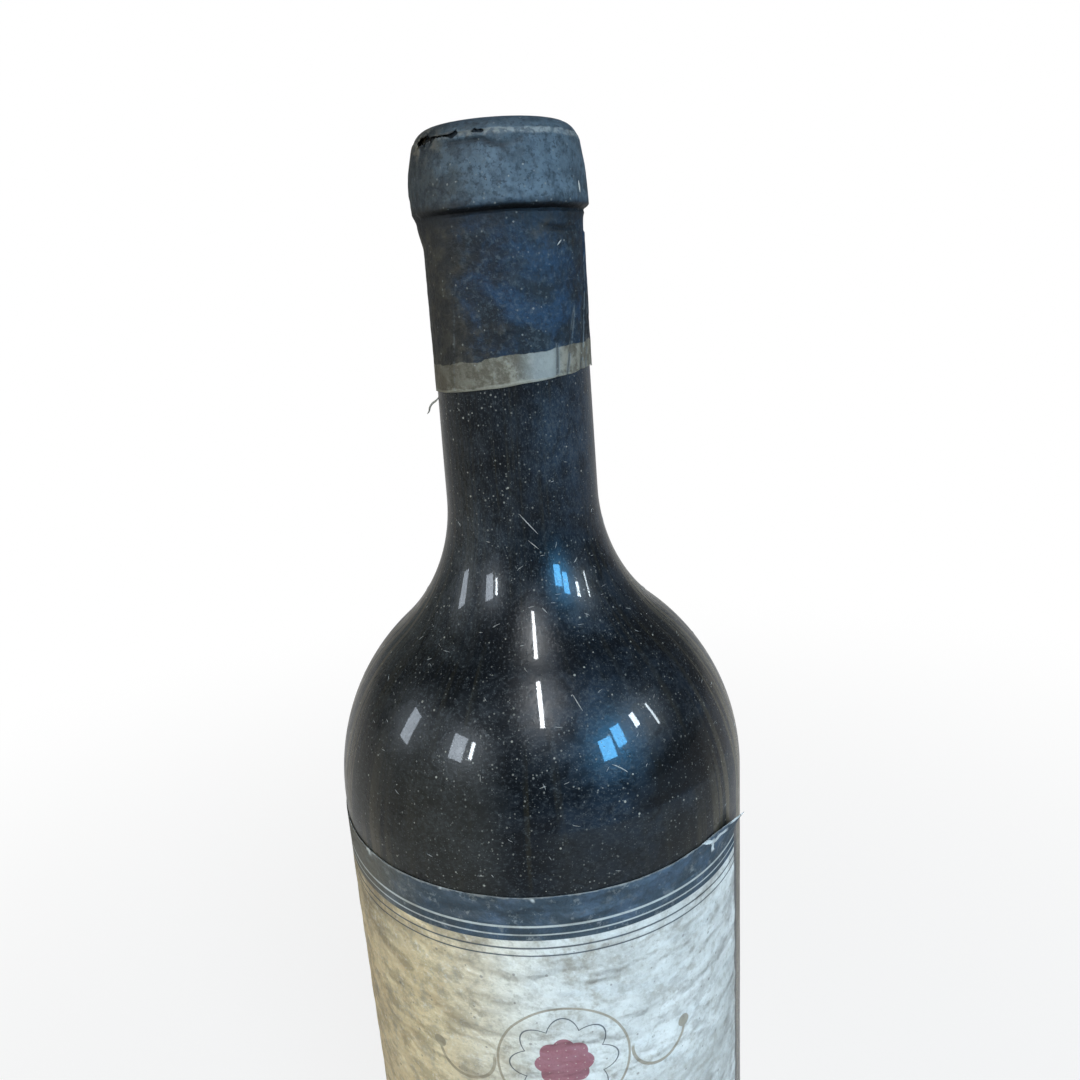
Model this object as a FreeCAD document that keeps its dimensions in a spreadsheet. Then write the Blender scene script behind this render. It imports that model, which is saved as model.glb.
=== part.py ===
import FreeCAD, Part

import math
import os

import Sketcher

# An old corked wine bottle: one shut bottle of dark glass with high shoulders, a foil
# capsule shrunk over its mouth and neck, and a paper label glued round its wall.
# Millimetres and degrees. +Z up, the origin under the middle of the foot, the label's
# front towards -Y.

# Driving dimensions, which the sheet holds under the same names.
SIZES = {
    # the glass bottle
    "glass_height": 300.0,
    "body_diameter": 76.0,
    "heel_radius": 5.0,
    "wall_top": 187.4,  # where the straight wall turns into the shoulder
    "shoulder_radius": 39.3,
    "neck_sweep_radius": 32.0,  # the hollow curve between shoulder and neck
    "neck_diameter": 25.7,  # just under the ring
    "neck_taper": 0.85,
    "punt_diameter": 46.0,
    "punt_depth": 12.0,
    # the ring of glass round the mouth
    "ring_height": 12.6,
    "ring_diameter": 27.8,
    "ring_undercut": 0.9,  # how high the ring's slanted underside is
    "ring_taper": 3.5,
    "lip_radius": 2.8,
    # the capsule over ring and neck
    "foil_clearance": 0.05,
    "foil_thickness": 0.3,
    "crease_radius": 2.2,  # the hollow under the capsule's bulge
    "bulge_radius": 1.6,
    "bulge_drop": 0.2,  # the bulge turns in this far below the ring's widest edge
    "skirt_length": 38.9,  # from the glass mouth down to the skirt's edge at the front
    "skirt_skew": 5.1,  # the skirt's edge runs uphill towards +X
    # the disc that closes the capsule
    "disc_thickness": 0.4,
    "seam_depth": 2.0,  # the skirt's upper edge below the glass mouth
    "seam_gap": 0.15,
    # the label
    "label_top": 185.0,
    "label_height": 108.0,
    "label_left_reach": 118.0,  # round the wall from the front, either way
    "label_right_reach": 63.0,
    "label_thickness": 0.4,  # the paper with its ripples
    "glue_thickness": 0.02,
}

# The skirt is first turned this much too long, and then trimmed along its skewed edge.
TRIM_ALLOWANCE = 4.0

# Heights and reaches that several outlines share, each a formula on the sheet's sizes.
RING_LOW = "(sizes.glass_height - sizes.ring_height)"
RING_FACE_LOW = f"({RING_LOW} + sizes.ring_undercut)"
BULGE_LEVEL = f"({RING_FACE_LOW} - sizes.bulge_drop)"
LIP_LEVEL = "(sizes.glass_height - sizes.lip_radius)"
LIP_REACH = (
    f"(sizes.ring_diameter / 2 - ({LIP_LEVEL} - {RING_FACE_LOW}) * tan(sizes.ring_taper * 1 deg)"
    " - sizes.lip_radius / cos(sizes.ring_taper * 1 deg))"
)
HEM_LEVEL = f"(sizes.glass_height - sizes.skirt_length - {TRIM_ALLOWANCE})"
HEM_REACH = (
    f"(sizes.neck_diameter / 2 + ({RING_LOW} - {HEM_LEVEL}) * tan(sizes.neck_taper * 1 deg)"
    " + sizes.foil_clearance)"
)
NECK_SLOPE = "90 deg + sizes.neck_taper * 1 deg"
RING_SLOPE = "90 deg + sizes.ring_taper * 1 deg"

ORIGIN = (-1, 1)
ACROSS, UPRIGHT = -1, -2  # a sketch's own two axes


def vector(point):
    return FreeCAD.Vector(point[0], point[1], 0)


def make_sheet(document):
    sheet = document.addObject("Spreadsheet::Sheet", "sizes")
    for row, (name, size) in enumerate(SIZES.items(), start=1):
        sheet.set(f"A{row}", name)
        sheet.set(f"B{row}", str(size))
        sheet.setAlias(f"B{row}", name)
    document.recompute()
    return sheet


def new_body(document, name):
    body = document.addObject("PartDesign::Body", name)
    body.Label = name
    return body


class Outline:
    """A closed outline of lines and arcs in a sketch, drawn from corner to corner.

    It is first drawn near its place, and then held there by rules and named sizes.
    """

    def __init__(self, body, name, plane, start):
        self.sketch = body.newObject("Sketcher::SketchObject", name)
        planes = [item for item in body.Origin.OriginFeatures if item.Role == plane]
        self.sketch.AttachmentSupport = [(planes[0], "")]
        self.sketch.MapMode = "FlatFace"
        self.here = start
        self.names = []
        self.way_in = {}
        self.way_out = {}

    def join(self, before, after, smooth):
        kind = "Tangent" if smooth else "Coincident"
        self.rule(kind, *self.way_out[before], *self.way_in[after])

    def add(self, name, curve, to, smooth, ends):
        number = self.sketch.addGeometry(curve, False)
        self.way_in[name] = (number, ends[0])
        self.way_out[name] = (number, ends[1])
        if self.names:
            self.join(self.names[-1], name, smooth)
        self.names.append(name)
        self.here = to

    def line(self, name, to, smooth=False):
        self.add(name, Part.LineSegment(vector(self.here), vector(to)), to, smooth, (1, 2))

    def arc(self, name, centre, to, smooth=False, clockwise=False):
        ends = (to, self.here) if clockwise else (self.here, to)
        turns = [math.atan2(end[1] - centre[1], end[0] - centre[0]) for end in ends]
        circle = Part.Circle(vector(centre), FreeCAD.Vector(0, 0, 1), math.dist(centre, to))
        order = (2, 1) if clockwise else (1, 2)
        self.add(name, Part.ArcOfCircle(circle, *turns), to, smooth, order)

    def close(self):
        self.join(self.names[-1], self.names[0], False)

    def number(self, name):
        return self.way_in[name][0]

    def centre(self, name):
        return (self.number(name), 3)

    def rule(self, kind, *places):
        self.sketch.addConstraint(Sketcher.Constraint(kind, *places))

    def size(self, kind, name, formula, places, drawn):
        number = self.sketch.addConstraint(Sketcher.Constraint(kind, *places, drawn))
        self.sketch.renameConstraint(number, name)
        self.sketch.setExpression("Constraints." + name, formula)

    def across(self, name, formula, place):
        drawn = self.sketch.getPoint(*place).x
        self.size("DistanceX", name, formula, (*ORIGIN, *place), drawn)

    def up(self, name, formula, place):
        drawn = self.sketch.getPoint(*place).y
        self.size("DistanceY", name, formula, (*ORIGIN, *place), drawn)

    def radius(self, name, formula, arc):
        number = self.number(arc)
        drawn = self.sketch.Geometry[number].Radius
        self.size("Radius", name, formula, (number,), drawn)

    def slope(self, name, formula, line):
        number = self.number(line)
        run = self.sketch.Geometry[number].EndPoint - self.sketch.Geometry[number].StartPoint
        self.size("Angle", name, formula, (number,), math.atan2(run.y, run.x))


def meeting_point(centre_a, radius_a, centre_b, radius_b):
    """Where two circles that touch from outside touch."""
    share = radius_a / (radius_a + radius_b)
    return [a + (b - a) * share for a, b in zip(centre_a, centre_b)]


def rise_between(across, radius_a, radius_b):
    """How far one touching circle's centre lies above the other's."""
    return math.sqrt((radius_a + radius_b) ** 2 - across**2)


def on_circle(centre, radius, towards):
    """The point of a circle that faces another point."""
    share = radius / math.dist(centre, towards)
    return [c + (t - c) * share for c, t in zip(centre, towards)]


def revolve(body, outline, name):
    turned = body.newObject("PartDesign::Revolution", name)
    turned.Profile = outline.sketch
    turned.ReferenceAxis = (outline.sketch, ["V_Axis"])
    turned.Angle = 360.0
    return turned


def make_bottle(document, worked):
    """The shut glass bottle: foot, heel, wall, shoulder, neck, ring and mouth."""
    body = new_body(document, "bottle")
    wall = SIZES["body_diameter"] / 2
    heel = SIZES["heel_radius"]
    shoulder = SIZES["shoulder_radius"]
    sweep = SIZES["neck_sweep_radius"]
    neck = SIZES["neck_diameter"] / 2
    ring = SIZES["ring_diameter"] / 2
    top = SIZES["glass_height"]
    punt = SIZES["punt_diameter"] / 2
    punt_depth = SIZES["punt_depth"]
    punt_centre = (0, punt_depth - (punt**2 + punt_depth**2) / (2 * punt_depth))
    lip_centre = (worked(LIP_REACH), worked(LIP_LEVEL))
    shoulder_centre = (wall - shoulder, SIZES["wall_top"])
    sweep_across = neck + sweep - shoulder_centre[0]
    sweep_rise = rise_between(sweep_across, shoulder, sweep)
    sweep_centre = (neck + sweep, shoulder_centre[1] + sweep_rise)
    shoulder_end = meeting_point(shoulder_centre, shoulder, sweep_centre, sweep)

    outline = Outline(body, "bottle_outline", "XZ_Plane", (punt, 0))
    outline.line("foot", (wall - heel, 0))
    outline.arc("heel", (wall - heel, heel), (wall, heel), smooth=True)
    outline.line("wall", (wall, shoulder_centre[1]), smooth=True)
    outline.arc("shoulder", shoulder_centre, shoulder_end, smooth=True)
    outline.arc("sweep", sweep_centre, (neck, sweep_centre[1]), smooth=True, clockwise=True)
    outline.line("neck", (neck, worked(RING_LOW)), smooth=True)
    outline.line("undercut", (ring, worked(RING_FACE_LOW)))
    outline.line("ring", (lip_centre[0] + SIZES["lip_radius"], lip_centre[1]))
    outline.arc("lip", lip_centre, (lip_centre[0], top), smooth=True)
    outline.line("mouth", (0, top), smooth=True)
    outline.line("axis", (0, punt_depth))
    outline.arc("punt", punt_centre, (punt, 0), clockwise=True)
    outline.close()

    outline.rule("PointOnObject", *outline.way_in["foot"], ACROSS)
    outline.rule("PointOnObject", *outline.way_out["foot"], ACROSS)
    outline.across("punt_reach", "sizes.punt_diameter / 2", outline.way_in["foot"])
    outline.radius("heel_round", "sizes.heel_radius", "heel")
    outline.rule("Vertical", outline.number("wall"))
    outline.across("wall_reach", "sizes.body_diameter / 2", outline.way_out["wall"])
    outline.up("wall_end", "sizes.wall_top", outline.way_out["wall"])
    outline.radius("shoulder_round", "sizes.shoulder_radius", "shoulder")
    outline.radius("sweep_round", "sizes.neck_sweep_radius", "sweep")
    outline.slope("neck_slope", NECK_SLOPE, "neck")
    outline.across("neck_reach", "sizes.neck_diameter / 2", outline.way_out["neck"])
    outline.up("neck_end", RING_LOW, outline.way_out["neck"])
    outline.across("ring_reach", "sizes.ring_diameter / 2", outline.way_in["ring"])
    outline.up("ring_start", RING_FACE_LOW, outline.way_in["ring"])
    outline.slope("ring_slope", RING_SLOPE, "ring")
    outline.radius("lip_round", "sizes.lip_radius", "lip")
    outline.rule("Horizontal", outline.number("mouth"))
    outline.up("mouth_level", "sizes.glass_height", outline.way_in["mouth"])
    outline.rule("PointOnObject", *outline.way_out["mouth"], UPRIGHT)
    outline.rule("PointOnObject", *outline.way_out["axis"], UPRIGHT)
    outline.up("punt_rise", "sizes.punt_depth", outline.way_out["axis"])
    outline.rule("PointOnObject", *outline.centre("punt"), UPRIGHT)
    revolve(body, outline, "bottle_turned")
    return body


def make_skirt(document, worked):
    """The capsule's skirt: down the neck, bulging over the ring, and in over the lip."""
    body = new_body(document, "capsule_skirt")
    foil = SIZES["foil_thickness"]
    clearance = SIZES["foil_clearance"]
    crease = SIZES["crease_radius"]
    bulge = SIZES["bulge_radius"]
    lip = SIZES["lip_radius"] + clearance
    hem_level = worked(HEM_LEVEL)
    hem_reach = worked(HEM_REACH)
    neck = SIZES["neck_diameter"] / 2 + clearance
    ring = SIZES["ring_diameter"] / 2 + clearance
    bulge_level = worked(BULGE_LEVEL)
    lip_centre = (worked(LIP_REACH), worked(LIP_LEVEL))
    # crease and bulge touch, so their centres lie both radii apart
    across = neck + foil + crease - (ring + foil - bulge)
    rise = rise_between(across, crease, bulge)
    crease_centre = (neck + foil + crease, bulge_level - rise)
    bulge_centre = (ring + foil - bulge, bulge_level)
    outer_turn = meeting_point(crease_centre, crease, bulge_centre, bulge)
    inner_turn = on_circle(crease_centre, crease + foil, bulge_centre)
    seam_angle = math.asin((SIZES["lip_radius"] - SIZES["seam_depth"]) / lip)
    seam_way = (math.cos(seam_angle), math.sin(seam_angle))
    inner_seam = [c + lip * way for c, way in zip(lip_centre, seam_way)]
    outer_seam = on_circle(lip_centre, lip + foil, inner_seam)

    outline = Outline(body, "skirt_outline", "XZ_Plane", (hem_reach, hem_level))
    outline.line("hem", (hem_reach + foil, hem_level))
    outline.line("outer_neck", (neck + foil, crease_centre[1]))
    outline.arc("outer_crease", crease_centre, outer_turn, smooth=True, clockwise=True)
    outline.arc("outer_bulge", bulge_centre, (ring + foil, bulge_centre[1]), smooth=True)
    outline.line("outer_ring", (lip_centre[0] + lip + foil, lip_centre[1]), smooth=True)
    outline.arc("outer_lip", lip_centre, outer_seam, smooth=True)
    outline.line("rim", inner_seam)
    outline.arc("inner_lip", lip_centre, (lip_centre[0] + lip, lip_centre[1]), clockwise=True)
    outline.line("inner_ring", (ring, bulge_centre[1]), smooth=True)
    outline.arc("inner_bulge", bulge_centre, inner_turn, smooth=True, clockwise=True)
    outline.arc("inner_crease", crease_centre, (neck, crease_centre[1]), smooth=True)
    outline.line("inner_neck", (hem_reach, hem_level), smooth=True)
    outline.close()

    outline.rule("Horizontal", outline.number("hem"))
    outline.across("hem_reach", HEM_REACH, outline.way_in["hem"])
    outline.up("hem_level", HEM_LEVEL, outline.way_in["hem"])
    outline.slope("inner_neck_slope", "sizes.neck_taper * 1 deg - 90 deg", "inner_neck")
    outline.slope("outer_neck_slope", NECK_SLOPE, "outer_neck")
    outline.slope("outer_ring_slope", RING_SLOPE, "outer_ring")
    outline.radius("crease_round", "sizes.crease_radius", "outer_crease")
    outline.radius("crease_back", "sizes.crease_radius + sizes.foil_thickness", "inner_crease")
    outline.radius("bulge_round", "sizes.bulge_radius", "outer_bulge")
    outline.radius("bulge_back", "sizes.bulge_radius - sizes.foil_thickness", "inner_bulge")
    outline.radius("lip_back", "sizes.lip_radius + sizes.foil_clearance", "inner_lip")
    outline.radius(
        "lip_round", "sizes.lip_radius + sizes.foil_clearance + sizes.foil_thickness", "outer_lip"
    )
    outline.rule("Coincident", *outline.centre("outer_crease"), *outline.centre("inner_crease"))
    outline.rule("Coincident", *outline.centre("outer_lip"), *outline.centre("inner_lip"))
    outline.across("lip_middle", LIP_REACH, outline.centre("inner_lip"))
    outline.up("lip_level", LIP_LEVEL, outline.centre("inner_lip"))
    outline.up("bulge_level", BULGE_LEVEL, outline.way_out["inner_ring"])
    outline.slope("inner_ring_slope", "sizes.ring_taper * 1 deg - 90 deg", "inner_ring")
    outline.up("seam_level", "sizes.glass_height - sizes.seam_depth", outline.way_out["rim"])
    outline.rule("PointOnObject", *outline.centre("inner_lip"), outline.number("rim"))
    revolve(body, outline, "skirt_turned")
    trim_hem(body, worked)
    return body


def trim_hem(body, worked):
    """Cuts the skirt's edge off along its skewed line, from front to back."""
    half = SIZES["ring_diameter"]
    low = worked(HEM_LEVEL) - TRIM_ALLOWANCE
    edge = SIZES["glass_height"] - SIZES["skirt_length"]
    slant = half * math.tan(math.radians(SIZES["skirt_skew"]))
    outline = Outline(body, "hem_cut", "XZ_Plane", (-half, low))
    outline.line("below", (half, low))
    outline.line("right", (half, edge + slant))
    outline.line("edge", (0, edge))
    outline.line("edge_left", (-half, edge - slant))
    outline.line("left", (-half, low))
    outline.close()
    outline.rule("Vertical", outline.number("left"))
    outline.rule("Vertical", outline.number("right"))
    outline.rule("Parallel", outline.number("edge"), outline.number("edge_left"))
    outline.rule("PointOnObject", *outline.way_out["edge"], UPRIGHT)
    outline.up("edge_level", "sizes.glass_height - sizes.skirt_length", outline.way_out["edge"])
    outline.slope("edge_slope", "180 deg + sizes.skirt_skew * 1 deg", "edge")
    outline.across("right_reach", "sizes.ring_diameter", outline.way_out["below"])
    outline.rule("Symmetric", *outline.way_in["below"], *outline.way_out["below"], UPRIGHT)
    outline.up("below_level", f"{HEM_LEVEL} - {TRIM_ALLOWANCE}", outline.way_in["below"])
    trimmed = body.newObject("PartDesign::Pocket", "hem_trimmed")
    trimmed.Profile = outline.sketch
    trimmed.SideType = "Symmetric"
    trimmed.Length = 4 * half
    trimmed.setExpression("Length", "4 * sizes.ring_diameter")
    return trimmed


def make_disc(document, worked):
    """The disc that closes the capsule, turned down over the lip as far as the seam."""
    body = new_body(document, "capsule_disc")
    disc = SIZES["disc_thickness"]
    lip = SIZES["lip_radius"] + SIZES["foil_clearance"]
    lip_centre = (worked(LIP_REACH), worked(LIP_LEVEL))
    under = lip_centre[1] + lip
    rise = SIZES["lip_radius"] - SIZES["seam_depth"] + SIZES["seam_gap"]
    inner_seam = (lip_centre[0] + math.sqrt(lip**2 - rise**2), lip_centre[1] + rise)
    outer_seam = on_circle(lip_centre, lip + disc, inner_seam)

    outline = Outline(body, "disc_outline", "XZ_Plane", (0, under))
    outline.line("underside", (lip_centre[0], under))
    outline.arc("inner_lip", lip_centre, inner_seam, smooth=True, clockwise=True)
    outline.line("rim", outer_seam)
    outline.arc("outer_lip", lip_centre, (lip_centre[0], under + disc))
    outline.line("top", (0, under + disc), smooth=True)
    outline.line("axis", (0, under))
    outline.close()

    outline.rule("Horizontal", outline.number("underside"))
    outline.rule("Horizontal", outline.number("top"))
    outline.rule("PointOnObject", *outline.way_in["axis"], UPRIGHT)
    outline.rule("PointOnObject", *outline.way_out["axis"], UPRIGHT)
    outline.across("lip_middle", LIP_REACH, outline.centre("inner_lip"))
    outline.up("lip_level", LIP_LEVEL, outline.centre("inner_lip"))
    outline.rule("Coincident", *outline.centre("inner_lip"), *outline.centre("outer_lip"))
    outline.radius("lip_back", "sizes.lip_radius + sizes.foil_clearance", "inner_lip")
    outline.radius(
        "lip_round", "sizes.lip_radius + sizes.foil_clearance + sizes.disc_thickness", "outer_lip"
    )
    outline.up(
        "seam_level",
        "sizes.glass_height - sizes.seam_depth + sizes.seam_gap",
        outline.way_in["rim"],
    )
    outline.rule("PointOnObject", *outline.centre("inner_lip"), outline.number("rim"))
    revolve(body, outline, "disc_turned")
    return body


def make_label(document):
    """The paper label, bent round the bottle's wall over its film of glue."""
    body = new_body(document, "label")
    back = SIZES["body_diameter"] / 2 + SIZES["glue_thickness"]
    front = back + SIZES["label_thickness"]
    left = math.radians(270 - SIZES["label_left_reach"])
    right = math.radians(270 + SIZES["label_right_reach"])

    def around(reach, turn):
        return (reach * math.cos(turn), reach * math.sin(turn))

    outline = Outline(body, "label_outline", "XY_Plane", around(back, left))
    outline.line("left", around(front, left))
    outline.arc("front", (0, 0), around(front, right))
    outline.line("right", around(back, right))
    outline.arc("back", (0, 0), around(back, left), clockwise=True)
    outline.close()
    outline.rule("Coincident", *outline.centre("front"), *ORIGIN)
    outline.rule("Coincident", *outline.centre("back"), *ORIGIN)
    outline.radius("back_round", "sizes.body_diameter / 2 + sizes.glue_thickness", "back")
    outline.radius(
        "front_round",
        "sizes.body_diameter / 2 + sizes.glue_thickness + sizes.label_thickness",
        "front",
    )
    outline.rule("PointOnObject", *ORIGIN, outline.number("left"))
    outline.rule("PointOnObject", *ORIGIN, outline.number("right"))
    outline.slope("left_turn", "270 deg - sizes.label_left_reach * 1 deg", "left")
    outline.slope("right_turn", "90 deg + sizes.label_right_reach * 1 deg", "right")
    outline.sketch.setExpression(
        "AttachmentOffset.Base.z", "sizes.label_top - sizes.label_height"
    )

    paper = body.newObject("PartDesign::Pad", "paper")
    paper.Profile = outline.sketch
    paper.Length = SIZES["label_height"]
    paper.setExpression("Length", "sizes.label_height")
    return body


def check(document, bodies):
    for item in document.Objects:
        if {"Invalid", "Error"} & set(item.State):
            raise RuntimeError(f"{item.Name} failed: {item.State}")
    for body in bodies:
        shape = body.Shape
        if shape.isNull() or not shape.isValid() or len(shape.Solids) != 1:
            raise RuntimeError(f"{body.Label} is not one valid solid")


def export(bodies):
    os.makedirs("parts", exist_ok=True)
    for body in bodies:
        body.Shape.exportStep(f"parts/{body.Label}.step")
        box = body.Shape.optimalBoundingBox()
        print(
            f"{body.Label}: {body.Shape.Volume:.1f} mm3,"
            f" {box.XLength:.2f} x {box.YLength:.2f} x {box.ZLength:.2f} mm,"
            f" from z {box.ZMin:.2f} to {box.ZMax:.2f}"
        )


def main():
    document = FreeCAD.newDocument("wine_bottle")
    sheet = make_sheet(document)

    def worked(formula):
        """What a formula on the sheet's sizes comes to."""
        return float(sheet.evalExpression(formula))

    bodies = [
        make_bottle(document, worked),
        make_skirt(document, worked),
        make_disc(document, worked),
        make_label(document),
    ]
    document.recompute()
    check(document, bodies)
    export(bodies)


main()
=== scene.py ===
# %% [markdown]
# # An old wine bottle
# The real thing is a shut bottle of nearly black glass that has stood in a cellar for years.
# Its mouth is wrapped in a painted foil capsule, a paper label is glued round its wall, and
# dust lies over all of it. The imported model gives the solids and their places, and this
# lesson gives each visible piece its fine shape and its finish.

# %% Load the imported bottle
import math

import bpy
from mathutils import Matrix, Vector, noise


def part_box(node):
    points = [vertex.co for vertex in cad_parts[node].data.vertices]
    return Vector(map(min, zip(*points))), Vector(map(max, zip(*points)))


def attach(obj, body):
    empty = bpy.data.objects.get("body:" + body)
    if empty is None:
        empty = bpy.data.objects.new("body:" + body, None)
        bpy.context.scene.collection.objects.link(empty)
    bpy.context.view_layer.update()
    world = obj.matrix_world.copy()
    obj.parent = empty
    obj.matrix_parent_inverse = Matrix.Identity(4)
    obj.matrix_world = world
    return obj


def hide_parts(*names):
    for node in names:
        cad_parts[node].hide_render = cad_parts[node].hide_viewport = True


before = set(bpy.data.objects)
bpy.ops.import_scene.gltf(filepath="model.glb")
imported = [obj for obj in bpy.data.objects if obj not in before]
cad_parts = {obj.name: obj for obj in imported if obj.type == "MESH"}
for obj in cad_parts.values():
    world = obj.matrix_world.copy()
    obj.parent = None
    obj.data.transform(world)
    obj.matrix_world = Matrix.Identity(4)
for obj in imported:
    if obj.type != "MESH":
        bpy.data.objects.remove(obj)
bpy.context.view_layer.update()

glass_low, glass_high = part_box("bottle")
label_low, label_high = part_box("label")
skirt_low, skirt_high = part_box("capsule_skirt")
disc_low, disc_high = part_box("capsule_disc")
MM = 0.001
middle_x = (glass_low[0] + glass_high[0]) / 2
middle_y = (glass_low[1] + glass_high[1]) / 2
print("bottle stands at", round(middle_x, 5), round(middle_y, 5), "and is", round(glass_high[2], 4), "tall")
for title, low, high in (
    ("label", label_low, label_high),
    ("capsule skirt", skirt_low, skirt_high),
    ("capsule disc", disc_low, disc_high),
):
    print(title, "reaches from", round(low[2], 4), "to", round(high[2], 4), "m above the foot")

# %% [markdown]
# ## Camera
# The bottle is looked at from near its shoulder and a little above it, so the rings of the
# label bow downwards and the foot is out of sight. The camera leans a few degrees. It is
# made from three turns: to the side, down, and about its own axis.

# %% Camera
turn, nod, lean = math.radians(0.967), math.radians(16.745), math.radians(-3.973)
CAMERA_BACK, CAMERA_HEIGHT, LENS = 0.1525, 0.2773, 29.15
ahead = Vector((math.sin(turn) * math.cos(nod), math.cos(turn) * math.cos(nod), -math.sin(nod)))
level_right = Vector((math.cos(turn), -math.sin(turn), 0))
level_up = level_right.cross(ahead)
right = math.cos(lean) * level_right + math.sin(lean) * level_up
up = math.cos(lean) * level_up - math.sin(lean) * level_right

camera = bpy.data.objects.new("camera", bpy.data.cameras.new("camera"))
bpy.context.collection.objects.link(camera)
camera.data.sensor_width = 36
camera.data.lens = LENS
camera.data.clip_start = 0.01
camera.matrix_world = Matrix((
    (right[0], up[0], -ahead[0], middle_x),
    (right[1], up[1], -ahead[1], middle_y - CAMERA_BACK),
    (right[2], up[2], -ahead[2], CAMERA_HEIGHT),
    (0, 0, 0, 1),
))
bpy.context.scene.camera = camera
print("camera stands", round(camera.location.z, 3), "m above the floor")

# %% [markdown]
# ## Two tools
# Most pieces of a bottle are turned, wrapped or bent round it, so one way of making them is
# enough: rows of points, joined by faces. Each piece can also remember numbers of its own at
# every point, and its finish reads them back. The finishes are mixed from nodes, and a small
# class keeps that short: one call adds a node and joins it to what it needs.


# %% A surface from rows of points
def skin(name, rows, closed):
    """A smooth surface through rows of points, all of one length; each point is x, y, z in mm."""
    wide = len(rows[0])
    points = [(middle_x + x * MM, middle_y + y * MM, z * MM) for row in rows for x, y, z in row]
    faces = []
    for i in range(len(rows) - 1):
        for j in range(wide if closed else wide - 1):
            k = (j + 1) % wide
            faces.append((i * wide + j, i * wide + k, (i + 1) * wide + k, (i + 1) * wide + j))
    mesh = bpy.data.meshes.new(name)
    mesh.from_pydata(points, [], faces)
    sample = mesh.polygons[len(faces) // 3]
    if sample.normal.dot(sample.center - Vector((middle_x, middle_y, sample.center.z))) < 0:
        mesh.flip_normals()
    mesh.shade_smooth()
    piece = bpy.data.objects.new(name, mesh)
    bpy.context.collection.objects.link(piece)
    print(name, "has", len(faces), "faces")
    return piece


def remember(piece, name, values):
    """Keeps three numbers with each point of a piece, for its material to read."""
    kept = piece.data.attributes.new(name, "FLOAT_VECTOR", "POINT")
    for spot_of, value in zip(kept.data, values):
        spot_of.vector = value


# %% Small tools for materials
class Recipe:
    """A new material, with short ways to add nodes and to join them."""

    def __init__(self, name):
        self.material = bpy.data.materials.new(name)
        self.material.use_nodes = True
        self.tree = self.material.node_tree
        self.tree.nodes.clear()
        self.end = self.tree.nodes.new("ShaderNodeOutputMaterial")
        place = self.tree.nodes.new("ShaderNodeTexCoord")
        self.place = place.outputs["Object"]

    def feed(self, socket, value):
        """Joins another node's output to a socket, or sets the socket to a plain value."""
        if isinstance(value, bpy.types.NodeSocket):
            self.tree.links.new(value, socket)
        else:
            socket.default_value = value

    def node(self, kind, **inputs):
        made = self.tree.nodes.new("ShaderNode" + kind)
        for name, value in inputs.items():
            self.feed(made.inputs[name.replace("_", " ")], value)
        return made

    def recall(self, name):
        """The three numbers that a piece remembers under this name."""
        made = self.node("Attribute")
        made.attribute_name = name
        return made.outputs["Vector"]

    def sum(self, operation, *values, clamp=False):
        made = self.tree.nodes.new("ShaderNodeMath")
        made.operation = operation
        made.use_clamp = clamp
        for socket, value in zip(made.inputs, values):
            self.feed(socket, value)
        return made.outputs[0]

    def times(self, *values):
        result = values[0]
        for value in values[1:]:
            result = self.sum("MULTIPLY", result, value)
        return result

    def stretch(self, scale, place=None, turned=(0, 0, 0)):
        made = self.tree.nodes.new("ShaderNodeMapping")
        self.feed(made.inputs["Vector"], place or self.place)
        made.inputs["Scale"].default_value = scale
        made.inputs["Rotation"].default_value = turned
        return made.outputs[0]

    def cloud(self, scale, detail=3.0, rough=0.55, place=None, bend=0.0):
        """A cloudy noise around 0.5."""
        made = self.node("TexNoise", Vector=place or self.place, Scale=scale, Detail=detail)
        made.inputs["Roughness"].default_value = rough
        made.inputs["Distortion"].default_value = bend
        return made.outputs[0]

    def ramp(self, value, low, high, to_low=0.0, to_high=1.0):
        """0 up to low, 1 from high on, with a soft step between; low may be the larger one."""
        made = self.tree.nodes.new("ShaderNodeMapRange")
        made.interpolation_type = "SMOOTHSTEP"
        for socket, given in zip(made.inputs, (value, low, high, to_low, to_high)):
            self.feed(socket, given)
        return made.outputs[0]

    def specks(self, scale, size):
        """Small round dots, of uneven size, about one to a cell."""
        made = self.node("TexVoronoi", Vector=self.place, Scale=scale, Randomness=1.0)
        own_size = self.sum("MULTIPLY", self.split(made.outputs["Color"])[0], size)
        return self.ramp(self.sum("SUBTRACT", own_size, made.outputs["Distance"]), 0.0, size * 0.35)

    def split(self, vector):
        made = self.node("SeparateXYZ", Vector=vector)
        return made.outputs

    def mix(self, share, first, second):
        """The first colour where the share is 0, the second where it is 1."""
        made = self.tree.nodes.new("ShaderNodeMix")
        made.data_type = "RGBA"
        self.feed(made.inputs[0], share)
        for socket, value in ((made.inputs[6], first), (made.inputs[7], second)):
            self.feed(socket, (*value, 1) if isinstance(value, tuple) else value)
        return made.outputs[2]

    def lay(self, colour, under, *shares):
        """Lays a colour over another one, as far as all the shares allow."""
        return self.mix(self.times(*shares), under, colour)

    def bump(self, height, deep, far, before=None):
        made = self.node("Bump", Height=height, Strength=deep, Distance=far)
        if before:
            self.feed(made.inputs["Normal"], before)
        return made.outputs[0]

    def report(self, what):
        print(self.material.name, "has", len(self.tree.nodes), "nodes after", what)

    def finish(self, shader):
        self.tree.links.new(shader, self.end.inputs["Surface"])
        return self.material


# %% [markdown]
# ## Floor
# A plain white sheet, far larger than the bottle. It keeps a soft shadow, and most of its
# white comes from itself, so that it stays white far behind the bottle as well.


# %% Floor
FLOOR_STEP, FLOOR_DROP = 500, -0.2
NEAR_GLOW, NEAR_SHADOW, FAR_WHITE = 0.82, 0.12, 0.6


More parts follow.
